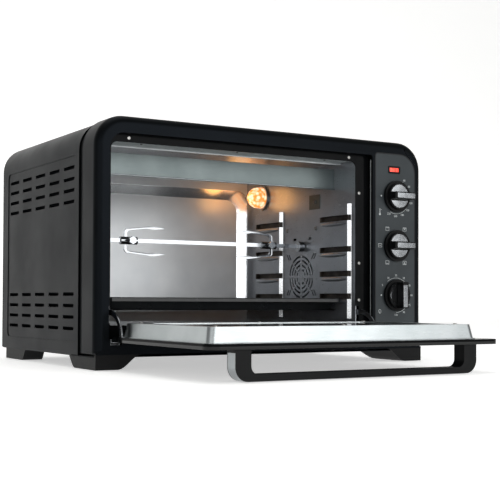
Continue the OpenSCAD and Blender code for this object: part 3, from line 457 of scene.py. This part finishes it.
# The pattern has a radius of 1 and is scaled where it is placed.
bpy.ops.object.select_all(action="DESELECT")
bpy.ops.mesh.primitive_cylinder_add(vertices=28, radius=1, depth=0.5, location=(0, 0, 0.25))
screw = start_mesh("cross_head_screw")
bpy.ops.object.transform_apply(location=True, rotation=True, scale=True)
select_where(screw, "edges", both_ends(screw, lambda point: point.z > 0.4))
bpy.ops.mesh.bevel(offset=0.32, segments=4)
bpy.ops.object.mode_set(mode="OBJECT")
select_where(screw, "faces", lambda face: face.normal.z < -0.9)
bpy.ops.mesh.inset(thickness=0.45)
bpy.ops.mesh.extrude_region_move(TRANSFORM_OT_translate={"value": (0, 0, -1.6)})
bpy.ops.object.mode_set(mode="OBJECT")
for turn in (0, pi / 2):
    bpy.ops.object.select_all(action="DESELECT")
    bpy.ops.mesh.primitive_cube_add(size=1, location=(0, 0, 0.5), rotation=(0, 0, turn))
    cutter = bpy.context.object
    cutter.scale = (1.15, 0.24, 0.5)
    bpy.context.view_layer.update()
    apply_modifier(screw, "BOOLEAN", object=cutter, operation="DIFFERENCE", solver="EXACT")
    bpy.data.objects.remove(cutter)
smooth(screw, 35)

# Nickel plate: warmer and duller than chrome.
nickel, shader = start_material("dull_nickel_plate", "9C9B98", 0.3, 1.0)
finish_shader(nickel, shader,
              Base_Color=blend_colours(nickel, noise(nickel, 2 * mm), "8E8D8A", "A6A5A2"))


def screws_at(name, node, seats, body="body"):
    """Screws whose heads sit at these points, each with its outward direction and head radius."""
    places = []
    for point, out, radius in seats:
        turn = Vector(out).to_track_quat("Z", "Y").to_matrix().to_4x4()
        spin = Matrix.Rotation(0.6 + 1.7 * len(places), 4, "Z")
        places.append(Matrix.Translation(point) @ turn @ spin @ Matrix.Scale(radius, 4))
    piece = repeat_mesh(screw, places, name)
    complete(piece, nickel, body)
    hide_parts(node)


def heads_of(node):
    """The low and high corners of each screw in a CAD node, whose vertices lie close together."""
    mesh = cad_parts[node].data
    reach = 4 * mm
    groups = []
    for vertex in mesh.vertices:
        for group in groups:
            if all(group[0][k] - reach < vertex.co[k] < group[1][k] + reach for k in range(3)):
                for k in range(3):
                    group[0][k] = min(group[0][k], vertex.co[k])
                    group[1][k] = max(group[1][k], vertex.co[k])
                break
        else:
            groups.append([list(vertex.co), list(vertex.co)])
    return groups


body_depth = 398 * mm
back_y = front_y + body_depth
seats = []
for low, high in heads_of("body_screws"):
    x, y, z = [(low[k] + high[k]) / 2 for k in range(3)]
    if high[1] > back_y - 1 * mm:
        seats.append(((x, back_y - 0.4 * mm, z), (0, 1, 0), 3.4 * mm))
    else:
        seats.append(((x, y, low[2] + 2.2 * mm), (0, 0, -1), 4 * mm))
screws_at("body_cross_head_screws", "body_screws", seats)
seats = []
for low, high in heads_of("cavity_screws"):
    x, y, z = [(low[k] + high[k]) / 2 for k in range(3)]
    if low[1] < front_y + 20 * mm:
        seats.append(((x, low[1] + 1.4 * mm, z), (0, -1, 0), 2.7 * mm))
    else:
        seats.append(((low[0] + 1.2 * mm, y, z), (-1, 0, 0), 3.2 * mm))
screws_at("cavity_cross_head_screws", "cavity_screws", seats)
seats = []
for low, high in heads_of("door_screws"):
    x, y, z = [(low[k] + high[k]) / 2 for k in range(3)]
    if low[2] > 50 * mm:
        seats.append(((x, y, high[2] - 1.5 * mm), (0, 0, 1), 2.9 * mm))
    else:
        seats.append(((x, y, high[2] - 2.1 * mm), (0, 0, 1), 4 * mm))
screws_at("door_cross_head_screws", "door_screws", seats, "door")
bpy.data.objects.remove(screw)

# ---- Front flange ----------------------------------------------------------
# The black enamelled plate behind the window, round the mouth of the cavity.

# Vitreous enamel: deep black glass fused on steel, glossy, with a slight ripple.
black_enamel, shader = start_material("black_vitreous_enamel", "08090A", 0.16,
                                      Specular_IOR_Level=0.035)
ripple = noise(black_enamel, 9 * mm, 2)
depth = noise(black_enamel, 50 * mm)
finish_shader(black_enamel, shader,
              Base_Color=blend_colours(black_enamel, depth, "060708", "0B0C0D"),
              Roughness=spread(black_enamel, ripple, 0.12, 0.22),
              Normal=bump(black_enamel, ripple, 0.05, 0.3 * mm))
rounded_copy("front_flange", "enamelled_flange", black_enamel, 0.25 * mm)

# ---- Heating elements ------------------------------------------------------
# Sheathed rods in ceramic bushes. Heat has turned the sheath dark and brownish.

# The same dark steel lines the tray ledges' channels, where it is painted shade.
sheath_steel_and_groove_shade, shader = start_material("heat_tinted_sheath_and_painted_groove_shade", "4C4844", 0.45, 1.0)
tint = noise(sheath_steel_and_groove_shade, 25 * mm)
scale = noise(sheath_steel_and_groove_shade, 1.5 * mm)
finish_shader(sheath_steel_and_groove_shade, shader,
              Base_Color=blend_colours(sheath_steel_and_groove_shade, tint, "3E3A37", "5E5852"),
              Roughness=spread(sheath_steel_and_groove_shade, scale, 0.38, 0.55))
paint(sheath_steel_and_groove_shade, "upper_heating_element", "lower_heating_element")

# Unglazed steatite: matt off-white, with fine pits.
unglazed_ceramic, shader = start_material("unglazed_steatite_ceramic", "DAD5C8", 0.7)
pits = noise(unglazed_ceramic, 1.0 * mm, 3)
finish_shader(unglazed_ceramic, shader,
              Base_Color=blend_colours(unglazed_ceramic, pits, "D2CCBE", "E2DDD1"),
              Normal=bump(unglazed_ceramic, pits, 0.15, 0.05 * mm))
paint(unglazed_ceramic, "element_bushes", "thermostat_unit", "selector_unit")

# ---- Cavity ----------------------------------------------------------------
# Walls of aluminised steel sheet: a back pressed deeper in the middle, plain
# top and floor, and side walls with raised pads and ledges for the trays.


def rolled(name, along, dark, light, low=0.3, high=0.42, metallic=1.0, relief=0.12):
    """Metal sheet with rolling lines, about 0.7 mm apart and drawn out along one axis."""
    metal, shader = start_material(name, light, high, metallic)
    lines = noise(metal, 0.7 * mm, 3, along)
    clouds = noise(metal, 45 * mm)
    finish_shader(metal, shader,
                  Base_Color=blend_colours(metal, clouds, dark, light),
                  Roughness=spread(metal, lines, low, high),
                  Normal=bump(metal, lines, relief, 0.06 * mm))
    return metal


# Aluminised steel: pale grey and soft, with highlights drawn out by the rolling.
back_metal = rolled("aluminised_steel_rolled_across", (12, 1, 1),
                    "CDD1D4", "D8DBDD", 0.28, 0.36, 0.3, 0.006)
side_metal = rolled("aluminised_steel_rolled_in_depth", (1, 12, 1),
                    "A0A4AA", "ACB0B6", 0.26, 0.36, 0.8, 0.008)
# The shield has been heated more than the walls, so its coating is darker and duller.
shield_metal = rolled("heat_dulled_aluminised_steel", (12, 1, 1),
                      "5E6666", "697171", 0.36, 0.46, 0.9, 0.008)
# A brighter, glossier copy of the aluminised steel for bevels and chamfers: a painted highlight.
bevel_highlight_metal = rolled("aluminised_steel_painted_bright_on_bevels", (1, 1, 8),
                         "D8DBDD", "E4E6E8", 0.16, 0.24, 1.0, 0.006)
back_wall = rounded_copy("cavity_back", "cavity_back_pressing",
                         back_metal, 1.0 * mm, angle=11)


def paint_bevel_highlight(piece, test):
    """Gives the faces that pass the test the brighter metal, a painted highlight."""
    piece.data.materials.append(bevel_highlight_metal)
    for face in piece.data.polygons:
        if test(face.normal):
            face.material_index = 1


# The back pressing's bevels that don't face up, and the side walls' chamfers, get the painted
# highlight.
paint_bevel_highlight(back_wall, lambda normal: abs(normal.y) < 0.99 and normal.z < 0.02)
for side in ("left", "right"):
    wall = rounded_copy("cavity_side_" + side, side + "_wall_pressing",
                        side_metal, 0.5 * mm, angle=30)
    paint_bevel_highlight(wall, lambda normal: abs(normal.y) > 0.3 and abs(normal.x) > 0.3)

# Each tray ledge is a channel pressed into the rack pad, over a rounded tongue
# pressed the other way. Its dark steel liner is painted shade for the deep groove.
ledge_z = [(104 + step) * mm for step in (0, 36, 75, 125)]
pad_spans = [(front_y + start * mm, front_y + end * mm) for start, end in ((28, 103), (228, 305))]
side_faces = ((-1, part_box("cavity_side_left")[1].x), (1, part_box("cavity_side_right")[0].x))
bpy.ops.object.select_all(action="DESELECT")
bpy.ops.mesh.primitive_uv_sphere_add(segments=20, ring_count=12, radius=1)
tongue = start_mesh("ledge_tongue")
bpy.ops.object.mode_set(mode="EDIT")
bpy.ops.mesh.select_all(action="SELECT")
bpy.ops.mesh.bisect(plane_co=(0.1, 0, 0), plane_no=(1, 0, 0), clear_outer=True, use_fill=True)
bpy.ops.object.mode_set(mode="OBJECT")
bpy.ops.object.select_all(action="DESELECT")
bpy.ops.mesh.primitive_cube_add(size=2)
channel = start_mesh("ledge_channel")
select_where(channel, "faces", lambda face: face.normal.x < -0.9)
bpy.ops.mesh.delete(type="FACE")
bpy.ops.object.mode_set(mode="OBJECT")
apply_modifier(channel, "SOLIDIFY", thickness=0.12, offset=-1)
tongue_drop, channel_depth = 8.6 * mm, 2.6 * mm
tongue_places, channel_places = [], []
for side, face_x in side_faces:
    for start, end in pad_spans:
        middle, half = (start + end) / 2, (end - start) / 2
        tongue_size = Matrix.Diagonal((3.2 * mm, half - 1 * mm, 3.8 * mm, 1))
        channel_size = Matrix.Diagonal((2.5 * mm, half + 1.5 * mm, 4.4 * mm, 1))
        for z in ledge_z:
            mirror = Matrix.Diagonal((side, 1, 1, 1))
            place = Matrix.Translation((face_x, middle, z - tongue_drop))
            tongue_places.append(place @ mirror @ tongue_size)
            place = Matrix.Translation((face_x + side * channel_depth, middle, z))
            channel_places.append(place @ mirror @ channel_size)
tongues = repeat_mesh(tongue, tongue_places, "ledge_tongues")
smooth(tongues, 60)
complete(tongues, side_metal)
# The dark liners are painted shade in the channels.
channels = repeat_mesh(channel, channel_places, "ledge_channel_shade_liners")
round_edges(channels, 0.15 * mm)
complete(channels, sheath_steel_and_groove_shade)
for pattern in (tongue, channel):
    bpy.data.objects.remove(pattern)

paint(side_metal, "cavity_top", "cavity_floor", "fan_housing", "crumb_tray")
paint(shield_metal, "wall_cover_plate")

rounded_copy("upper_heat_shield", "heat_shield_strip",
             shield_metal, 0.3 * mm)

# Chrome plate: near-white mirror with the faintest haze.
chrome, shader = start_material("bright_chrome_plate", "D9DCDE", 0.1, 1.0)
haze = noise(chrome, 6 * mm)
finish_shader(chrome, shader,
              Base_Color=blend_colours(chrome, haze, "9DA0A3", "A6A9AC"),
              Roughness=spread(chrome, haze, 0.1, 0.13))

# The shield's lower edge is hemmed: folded back on itself, so that it shows as a
# bright bead.
bpy.ops.object.select_all(action="DESELECT")
shield_low, shield_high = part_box("upper_heat_shield")
hem_length = shield_high.x - shield_low.x - 1 * mm
hem_radius = 1 * mm
shield_x = (shield_low.x + shield_high.x) / 2
bpy.ops.mesh.primitive_cylinder_add(
    vertices=14, radius=hem_radius, depth=hem_length, rotation=(0, pi / 2, 0),
    location=(shield_x, shield_low.y + 1.4 * mm, shield_low.z + 1.1 * mm))
hem = start_mesh("shield_hem")
bpy.ops.object.transform_apply(location=True, rotation=True, scale=True)
round_edges(hem, 0.3 * mm, 2, 60)
complete(hem, chrome)

# A folded flange of matt, cloudy aluminium stiffens the front of the ceiling.
# Three rivets hold it.
# The same pale metal makes the painted highlight strip on the window's edge.
matt_aluminium_and_edge_highlight, shader = start_material("matt_aluminised_flange_and_painted_edge_highlight", "B9BEC0", 0.5, 0.45)
finish_shader(matt_aluminium_and_edge_highlight, shader, Base_Color=blend_colours(
    matt_aluminium_and_edge_highlight, noise(matt_aluminium_and_edge_highlight, 14 * mm), "AEB4B6", "C2C7C9"))
flange_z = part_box("cavity_top")[0].z - 0.2 * mm
bpy.ops.object.select_all(action="DESELECT")
bpy.ops.mesh.primitive_cube_add(size=1, location=(0, 0, 0))
ceiling_flange = start_mesh("ceiling_flange")
flange_depth, flange_sheet = 34 * mm, 1 * mm
ceiling_flange.data.transform(
    Matrix.Translation((shield_x, front_y + 31 * mm, flange_z - flange_sheet / 2))
    @ Matrix.Diagonal((hem_length - 4 * mm, flange_depth, flange_sheet, 1)))
select_where(ceiling_flange, "faces", lambda face: face.normal.y > 0.9)
bpy.ops.mesh.extrude_region_move(TRANSFORM_OT_translate={"value": (0, 2 * mm, -1.2 * mm)})
bpy.ops.mesh.extrude_region_move(TRANSFORM_OT_translate={"value": (0, 0.6 * mm, -1.6 * mm)})
bpy.ops.object.mode_set(mode="OBJECT")
round_edges(ceiling_flange, 0.3 * mm, 2, 20)
complete(ceiling_flange, matt_aluminium_and_edge_highlight)
bpy.ops.object.select_all(action="DESELECT")
bpy.ops.mesh.primitive_uv_sphere_add(segments=14, ring_count=8, radius=1)
rivet = start_mesh("rivet")
rivet_size = Matrix.Diagonal((2 * mm, 2 * mm, 1 * mm, 1))
rivets = repeat_mesh(rivet, [
    Matrix.Translation((x, front_y + 26 * mm, flange_z - 1.1 * mm)) @ rivet_size
    for x in (-205 * mm, -48 * mm, 110 * mm)], "ceiling_rivets")
bpy.data.objects.remove(rivet)
smooth(rivets, 60)
complete(rivets, sheath_steel_and_groove_shade)

# ---- Lamp ------------------------------------------------------------------
# A clear glass dome in a steel ring, lit from behind by a small filament bulb.

lamp_low, lamp_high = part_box("lamp_dome")
lamp_y = (lamp_low.y + lamp_high.y) / 2
lamp_z = (lamp_low.z + lamp_high.z) / 2
dome_radius = (lamp_high.y - lamp_low.y) / 2
dome_base = lamp_low.x + dome_radius
bpy.ops.object.select_all(action="DESELECT")
bpy.ops.mesh.primitive_uv_sphere_add(segments=14, ring_count=12, radius=dome_radius - 0.2 * mm,
                                     location=(dome_base, lamp_y, lamp_z), rotation=(0, -pi / 2, 0))
dome = start_mesh("faceted_lamp_dome")
bpy.ops.object.transform_apply(location=True, rotation=True, scale=True)
bpy.ops.object.mode_set(mode="EDIT")
bpy.ops.mesh.select_all(action="SELECT")
bpy.ops.mesh.bisect(plane_co=(dome_base, lamp_y, lamp_z), plane_no=(1, 0, 0), clear_outer=True)
select_where(dome, "faces", lambda face: face.center.x < dome_base - 4 * mm)
bpy.ops.mesh.inset(thickness=0.7 * mm, depth=-0.5 * mm, use_individual=True)
bpy.ops.object.mode_set(mode="OBJECT")
select_where(dome, "edges", both_ends(dome, lambda point: point.x > dome_base - 0.1 * mm))
bpy.ops.mesh.extrude_region_move(TRANSFORM_OT_translate={"value": (lamp_high.x - dome_base, 0, 0)})
bpy.ops.object.mode_set(mode="OBJECT")
apply_modifier(dome, "SOLIDIFY", thickness=1.6 * mm, offset=-1)

# Pressed glass lit from behind: near-white where a facet faces the filament,
# amber in the grooves between the facets, which are 6 mm wide.
lit_glass, shader = start_material("lit_pressed_glass", "FFC070", 0.1,
                                   Emission_Strength=1.25, Coat_Weight=0.8)
place = add_node(lit_glass, "ShaderNodeTexCoord")
facets = add_node(lit_glass, "ShaderNodeTexVoronoi", {"Scale": 1 / (6 * mm)},
                  Vector=place.outputs["Object"]).outputs["Distance"]
finish_shader(lit_glass, shader,
              Emission_Color=blend_colours(lit_glass, facets, "FFE8C4", "F0842C"))
complete(dome, lit_glass)
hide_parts("lamp_dome")

# Frosted glass over a coiled filament: bright, in uneven patches of about 2 mm.
lit_bulb, shader = start_material("lit_frosted_bulb_glass", "FFE2B0", 0.4, Emission_Strength=8.0)
glow = noise(lit_bulb, 2 * mm, 2)
finish_shader(lit_bulb, shader, Emission_Color=blend_colours(lit_bulb, glow, "FFC070", "FFE0A8"))
paint(lit_bulb, "lamp_bulb")
paint(zinc_plate, "lamp_holder")

# The light that the lamp throws on the walls: the warm colour of a low-power filament.
bpy.ops.object.light_add(type="POINT", location=(lamp_low.x - 16 * mm, lamp_y + 4 * mm, lamp_z))
lamp_light = bpy.context.object
lamp_light.name = "lamp_glow"
lamp_light.data.energy = 0.048
lamp_light.data.color = (1.0, 0.45, 0.12)
lamp_light.data.shadow_soft_size = 22 * mm

# ---- Fan and motors --------------------------------------------------------
# A sheet steel impeller turns in a round housing behind the grille. Its motor
# has a moulded black case.

paint(zinc_plate, "fan_impeller")
paint(moulded_black, "fan_motor")

# ---- Spit ------------------------------------------------------------------
# A square chromed rod between the drive collar and the rest, with two sheet
# forks, each clamped by a fluted thumbscrew.

flat_area = 150 * mm * mm
for node, name, body in (
    ("spit_rod", "square_spit_rod", "spit"),
    ("spit_drive_socket", "drive_collar", "spit"),
    ("spit_fork_left", "left_fork_pressing", "fork_left"),
    ("spit_fork_right", "right_fork_pressing", "fork_right"),
    ("fork_screw_left", "left_thumbscrew", "fork_left"),
    ("fork_screw_right", "right_thumbscrew", "fork_right"),
    ("spit_rest", "spit_rest_bracket", "body"),
):
    piece = copy_of(node, name)
    if "fork_pressing" in name:
        # A shallow groove is stamped along each flat side to stiffen the prongs.
        if select_where(piece, "faces", lambda face: face.area > flat_area):
            bpy.ops.mesh.inset(thickness=1.3 * mm, depth=-0.35 * mm)
        bpy.ops.object.mode_set(mode="OBJECT")
    round_edges(piece, 0.3 * mm)
    complete(piece, chrome, body)

# ---- Controls --------------------------------------------------------------
# A dark grey panel with a pilot lamp and three knobs. Each knob is a black
# moulding with chromed inserts on a steel shaft.

# Painted ABS panel: dark blue-grey, silky, with fine speckle.
panel_paint, shader = start_material("charcoal_soft_touch_paint", "2A2F32", 0.5,
                                     Specular_IOR_Level=0.3)
clouds = noise(panel_paint, 40 * mm)
speckle = noise(panel_paint, 0.9 * mm, 3)
finish_shader(panel_paint, shader,
              Base_Color=blend_colours(panel_paint, clouds, "272D30", "2E3437"),
              Normal=bump(panel_paint, speckle, 0.08, 0.05 * mm))
rounded_copy("control_panel", "control_fascia", panel_paint, 0.4 * mm)


def outline_ring(name, low, high, corner, width, proud):
    """A flat ring with rounded corners on the panel's face, from low to high in x and z.

    The corner radius is one value, or four: bottom left, bottom right, top left, top right.
    """
    bpy.ops.object.select_all(action="DESELECT")
    bpy.ops.mesh.primitive_plane_add(size=1)
    ring = start_mesh(name)
    place = Matrix.Translation(((low[0] + high[0]) / 2, front_y, (low[1] + high[1]) / 2))
    ring.data.transform(place @ Matrix.Rotation(pi / 2, 4, "X")
                        @ Matrix.Diagonal((high[0] - low[0], high[1] - low[1], 1, 1)))
    for right in (False, True):
        for top in (False, True):
            size = corner[2 * top + right] if isinstance(corner, tuple) else corner
            x, z = high[0] if right else low[0], high[1] if top else low[1]
            select_where(ring, "vertices", lambda vertex: (
                abs(vertex.co.x - x) < 0.01 * mm and abs(vertex.co.z - z) < 0.01 * mm))
            bpy.ops.mesh.bevel(offset=size, segments=8, affect="VERTICES")
            bpy.ops.object.mode_set(mode="OBJECT")
    bpy.ops.object.mode_set(mode="EDIT")
    bpy.ops.mesh.select_mode(type="FACE")
    bpy.ops.mesh.select_all(action="SELECT")
    bpy.ops.mesh.inset(thickness=width)
    bpy.ops.mesh.delete(type="FACE")
    bpy.ops.object.mode_set(mode="OBJECT")
    apply_modifier(ring, "SOLIDIFY", thickness=proud, offset=1)
    return ring


# A thin black ring stands round the panel and shows as a line round it: painted shade for the
# groove that the panel sits in.
panel_low, panel_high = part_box("control_panel")
groove_shade_corners = (6 * mm, 9 * mm, 6 * mm, 31 * mm)
groove_shade_ring = outline_ring("panel_groove_shade_ring", (panel_low.x - 1 * mm, panel_low.z - 1 * mm),
                      (panel_high.x + 1 * mm, panel_high.z + 1 * mm), groove_shade_corners,
                      1.7 * mm, 0.35 * mm)
round_edges(groove_shade_ring, 0.12 * mm)
complete(groove_shade_ring, rubber_and_groove_shade)

# Screen-printed dial marks in pale grey ink: scales with numbers, plain function
# signs, and a stop dot for each knob. The film is thinner than it is drawn.
dial_ink, shader = start_material("pale_grey_screen_ink", "B9BEBE", 0.6)
finish_shader(dial_ink, shader,
              Base_Color=blend_colours(dial_ink, noise(dial_ink, 1.5 * mm, 3), "A6ACAC", "C4C8C8"))
knob_x = 231.2 * mm
knob_z = [263.5 * mm, 184.7 * mm, 105.9 * mm]
marks = []


def face_on(mark, x, z, turn=0.0):
    """Stands a flat mark, drawn in the XY plane, on the panel's face at this place."""
    mark.data.transform(Matrix.Translation((x, front_y - 0.05 * mm, z))
                        @ Matrix.Rotation(pi / 2, 4, "X") @ Matrix.Rotation(turn, 4, "Z"))
    marks.append(mark)


def print_text(words, x, z, size):
    """Letters centred on this place, as a mesh."""
    bpy.ops.object.select_all(action="DESELECT")
    bpy.ops.object.text_add()
    label = bpy.context.object
    label.data.body = words
    label.data.size = size
    label.data.align_x = label.data.align_y = "CENTER"
    label.data.resolution_u = 3
    bpy.ops.object.convert(target="MESH")
    face_on(bpy.context.object, x, z)


def print_arc(x, z, radius, start, end, width):
    """A thin arc clockwise between two clock angles, which run from 0 at the top."""
    bpy.ops.object.select_all(action="DESELECT")
    bpy.ops.mesh.primitive_plane_add(size=1)
    arc = bpy.context.object
    arc.data.transform(Matrix.Translation((0, radius, 0))
                       @ Matrix.Diagonal((0.2 * mm, width, 1, 1)))
    select_where(arc, "edges", both_ends(arc, lambda point: point.x > 0))
    bpy.ops.mesh.spin(steps=48, angle=radians(end - start), center=(0, 0, 0), axis=(0, 0, 1))
    bpy.ops.object.mode_set(mode="OBJECT")
    face_on(arc, x, z, -radians(start))


def print_box(x, z, width, height, line=0.5 * mm):
    """A rectangle, solid where the line is None."""
    bpy.ops.object.select_all(action="DESELECT")
    bpy.ops.mesh.primitive_plane_add(size=1)
    box = bpy.context.object
    box.data.transform(Matrix.Diagonal((width, height, 1, 1)))
    if line:
        select_where(box, "faces", lambda face: True)
        bpy.ops.mesh.inset(thickness=line)
        bpy.ops.mesh.delete(type="FACE")
        bpy.ops.object.mode_set(mode="OBJECT")
    face_on(box, x, z)


def print_dot(x, z, radius):
    """A filled disc."""
    bpy.ops.object.select_all(action="DESELECT")
    bpy.ops.mesh.primitive_circle_add(vertices=20, radius=radius, fill_type="NGON")
    face_on(bpy.context.object, x, z)


def round_knob(knob, angle, radius):
    """The point at a clock angle round one of the knobs."""
    return knob_x + radius * sin(radians(angle)), knob_z[knob] + radius * cos(radians(angle))


scale_radius, number_radius, letter_size = 27.5 * mm, 31.5 * mm, 4.6 * mm
print_arc(knob_x, knob_z[0], scale_radius, 28, 205, 0.5 * mm)
for words, angle in zip("60 80 100 120 150 180 200 230".split(), range(32, 220, 25)):
    print_text(words, *round_knob(0, angle, number_radius), letter_size)
print_arc(knob_x, knob_z[2], scale_radius, -38, 178, 0.5 * mm)
for words, angle in zip("5 10 20 30 45 60 75 90 120".split(), range(-60, 190, 30)):
    print_text(words, *round_knob(2, angle, number_radius), letter_size)
for knob in (0, 2):
    print_dot(*round_knob(knob, -90, 29.5 * mm), 1.2 * mm)
for sign, angle in enumerate((-90, -33, 33, 147, 213)):
    x, z = round_knob(1, angle, 32 * mm)
    print_box(x, z, 7 * mm, 6 * mm)
    if sign in (1, 2):
        print_box(x, z + 1.6 * mm, 4.6 * mm, 0.6 * mm, None)
    if sign in (3, 4):
        print_box(x, z - 1.6 * mm, 4.6 * mm, 0.6 * mm, None)
    if sign in (0, 2, 3):
        print_dot(x, z, 0.9 * mm)
# A thermometer beside the top knob, and a bell beside the timer.
x, z = round_knob(0, 232, 41 * mm)
print_dot(x, z - 4 * mm, 1.8 * mm)
print_box(x, z + 0.6 * mm, 1.6 * mm, 8 * mm)
print_box(x + 3 * mm, z + 3 * mm, 2 * mm, 0.5 * mm, None)
x, z = round_knob(2, 232, 41 * mm)
print_arc(x, z, 2.4 * mm, -90, 90, 0.6 * mm)
print_box(x, z - 1.4 * mm, 7 * mm, 0.6 * mm, None)
print_dot(x, z - 3 * mm, 0.9 * mm)
bpy.ops.object.select_all(action="DESELECT")
for mark in marks:
    mark.select_set(True)
bpy.context.view_layer.objects.active = marks[0]
bpy.ops.object.join()
dial_marks = start_mesh("dial_marks")
bpy.ops.object.mode_set(mode="EDIT")
bpy.ops.mesh.select_all(action="SELECT")
bpy.ops.mesh.remove_doubles(threshold=0.01 * mm)
bpy.ops.mesh.normals_make_consistent(inside=False)
bpy.ops.object.mode_set(mode="OBJECT")
apply_modifier(dial_marks, "SOLIDIFY", thickness=0.1 * mm, offset=0)
complete(dial_marks, dial_ink)

for name in ("thermostat", "selector", "timer"):
    rounded_copy(name + "_knob", name + "_knob_moulding",
                 moulded_black, 0.6 * mm, name + "_knob", segments=3)
    rounded_copy(name + "_knob_trim", name + "_chrome_inserts",
                 chrome, 0.3 * mm, name + "_knob")

# Turned steel: fine rings from the lathe, drawn at 1 mm.
turned_steel, shader = start_material("turned_steel_shaft", "AEB1B3", 0.3, 1.0)
rings = noise(turned_steel, 1 * mm, 2, (1, 8, 1))
finish_shader(turned_steel, shader, Roughness=spread(turned_steel, rings, 0.22, 0.4))
paint(turned_steel, "thermostat_shaft", "selector_shaft", "timer_shaft")

# Acrylic lens: clear red, lit from inside in ribs about 2.4 mm apart.
pilot_red, shader = start_material("lit_red_acrylic_lens", "C81408", 0.2, Emission_Strength=1.2)
ribs = noise(pilot_red, 2.4 * mm, 1, (1, 1, 8))
finish_shader(pilot_red, shader, Emission_Color=blend_colours(pilot_red, ribs, "F01C0C", "FF6A50"))
rounded_copy("pilot_lens", "pilot_lamp_lens", pilot_red, 0.4 * mm, segments=3)
pilot_z = 306 * mm
surround = outline_ring("pilot_surround", (knob_x - 16 * mm, pilot_z - 6 * mm),
                        (knob_x + 8 * mm, pilot_z + 6 * mm), 2.4 * mm, 2.9 * mm, 0.7 * mm)
round_edges(surround, 0.25 * mm)
complete(surround, moulded_black)

# A thin pale strip runs up the side of the window's return, next to the panel: a painted highlight
# on the window's edge.
bpy.ops.object.select_all(action="DESELECT")
bpy.ops.mesh.primitive_cube_add(size=1)
window_edge_highlight = start_mesh("window_edge_highlight_strip")
window_x, window_middle_z = 184.5 * mm, 186 * mm
highlight_strip_size = (0.4 * mm, 1.4 * mm, 268 * mm)
window_edge_highlight.data.transform(
    Matrix.Translation((window_x - 0.1 * mm, front_y + 5.4 * mm, window_middle_z))
    @ Matrix.Diagonal((*highlight_strip_size, 1)))
round_edges(window_edge_highlight, 0.15 * mm, 2)
complete(window_edge_highlight, matt_aluminium_and_edge_highlight)

# ---- Trays -----------------------------------------------------------------
# A black enamelled baking tray on the lowest ledges: drawn from one blank, with
# tapered walls, a flat rim that slides in the ledges and a folded front lip.

tray_low, tray_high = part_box("baking_tray")
rim_z = tray_high.z - 1.2 * mm
corner_radius = 17 * mm
bpy.ops.object.select_all(action="DESELECT")
bpy.ops.mesh.primitive_plane_add(size=1)
tray = start_mesh("enamelled_tray")
tray_x, tray_y = (tray_low.x + tray_high.x) / 2, (tray_low.y + tray_high.y) / 2 + 0.5 * mm
tray.data.transform(
    Matrix.Translation((tray_x, tray_y, rim_z + 0.6 * mm))
    @ Matrix.Diagonal((tray_high.x - tray_low.x, tray_high.y - tray_low.y - 1 * mm, 1, 1)))
select_where(tray, "vertices", lambda vertex: True)
bpy.ops.mesh.bevel(offset=corner_radius, segments=6, affect="VERTICES")
bpy.ops.mesh.select_all(action="SELECT")
# Each inset is one draw of the press: the rim, its inner bend, the wall, the bottom bend.
for across, down in ((8.5, 0), (1.2, 1.2), (9, 14.5), (2.4, 2)):
    bpy.ops.mesh.inset(thickness=across * mm, depth=-down * mm)
bpy.ops.object.mode_set(mode="OBJECT")
select_where(tray, "edges", both_ends(tray, lambda point: point.y < tray_low.y + 2.1 * mm))
bpy.ops.mesh.extrude_region_move(TRANSFORM_OT_translate={"value": (0, -0.5 * mm, -1 * mm)})
bpy.ops.mesh.extrude_region_move(TRANSFORM_OT_translate={"value": (0, 0, -4.4 * mm)})
bpy.ops.object.mode_set(mode="OBJECT")
apply_modifier(tray, "SOLIDIFY", thickness=0.9 * mm, offset=0)
round_edges(tray, 0.4 * mm, 2, 25)
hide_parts("baking_tray")
# Baking enamel: softer black than the flange, washed dull, with a slight ripple.
tray_enamel, shader = start_material("washed_black_baking_enamel", "141718", 0.3,
                                     Specular_IOR_Level=0.45)
wear = noise(tray_enamel, 30 * mm)
finish_shader(tray_enamel, shader,
              Base_Color=blend_colours(tray_enamel, wear, "121516", "191C1D"),
              Roughness=spread(tray_enamel, noise(tray_enamel, 12 * mm), 0.26, 0.38))
complete(tray, tray_enamel)

# ---- Door ------------------------------------------------------------------
# A sheet of black glass, an enamelled frame, a bright pressed pan and the inner
# glass, with a U-shaped handle screwed through the glass.

# Toughened glass with a black fired-on back: nearly black, mirror smooth.
black_glass, shader = start_material("black_backed_float_glass", "050606", 0.05,
                                     Specular_IOR_Level=0.3)
backing = noise(black_glass, 60 * mm)
finish_shader(black_glass, shader,
              Base_Color=blend_colours(black_glass, backing, "040505", "080A0A"))
rounded_copy("door_glass", "outer_door_glass",
             black_glass, 0.9 * mm, "door", segments=3)
rounded_copy("door_frame", "door_frame_sheet", black_enamel, 0.4 * mm, "door")

# Bright anodised sheet: silvery, with long fine lines from the rolling.
bright_sheet = rolled("bright_anodised_pressing", (30, 1, 1),
                      "A0A6A7", "AEB3B4", 0.26, 0.34, 1.0, 0.04)
rounded_copy("door_inner_pan", "door_pan_pressing",
             bright_sheet, 1.6 * mm, "door", segments=3, angle=25)

# Smoked glass: dark and clear-cut, with a faint film of grease in patches.
tinted_glass, shader = start_material("smoked_float_glass", "0B0D0D", 0.04)
finish_shader(tinted_glass, shader,
              Roughness=spread(tinted_glass, noise(tinted_glass, 30 * mm), 0.03, 0.07))
paint(tinted_glass, "door_inner_glass")

rounded_copy("door_handle", "handle_bar",
             moulded_black, 1.6 * mm, "door", segments=3)
# Satin anodised aluminium: fine upright lines, drawn at 0.6 mm, that spread the light.
satin_aluminium, shader = start_material("satin_anodised_aluminium", "9EA3A5", 0.35, 1.0)
lines = noise(satin_aluminium, 0.6 * mm, 3, (1, 1, 40))
finish_shader(satin_aluminium, shader, Roughness=spread(satin_aluminium, lines, 0.28, 0.42))
rounded_copy("handle_end_trims", "handle_end_strips",
             satin_aluminium, 0.2 * mm, "door")

rounded_copy("hinge_arms", "hinge_arm_pressings", chrome, 0.3 * mm, "door")

low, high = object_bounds()
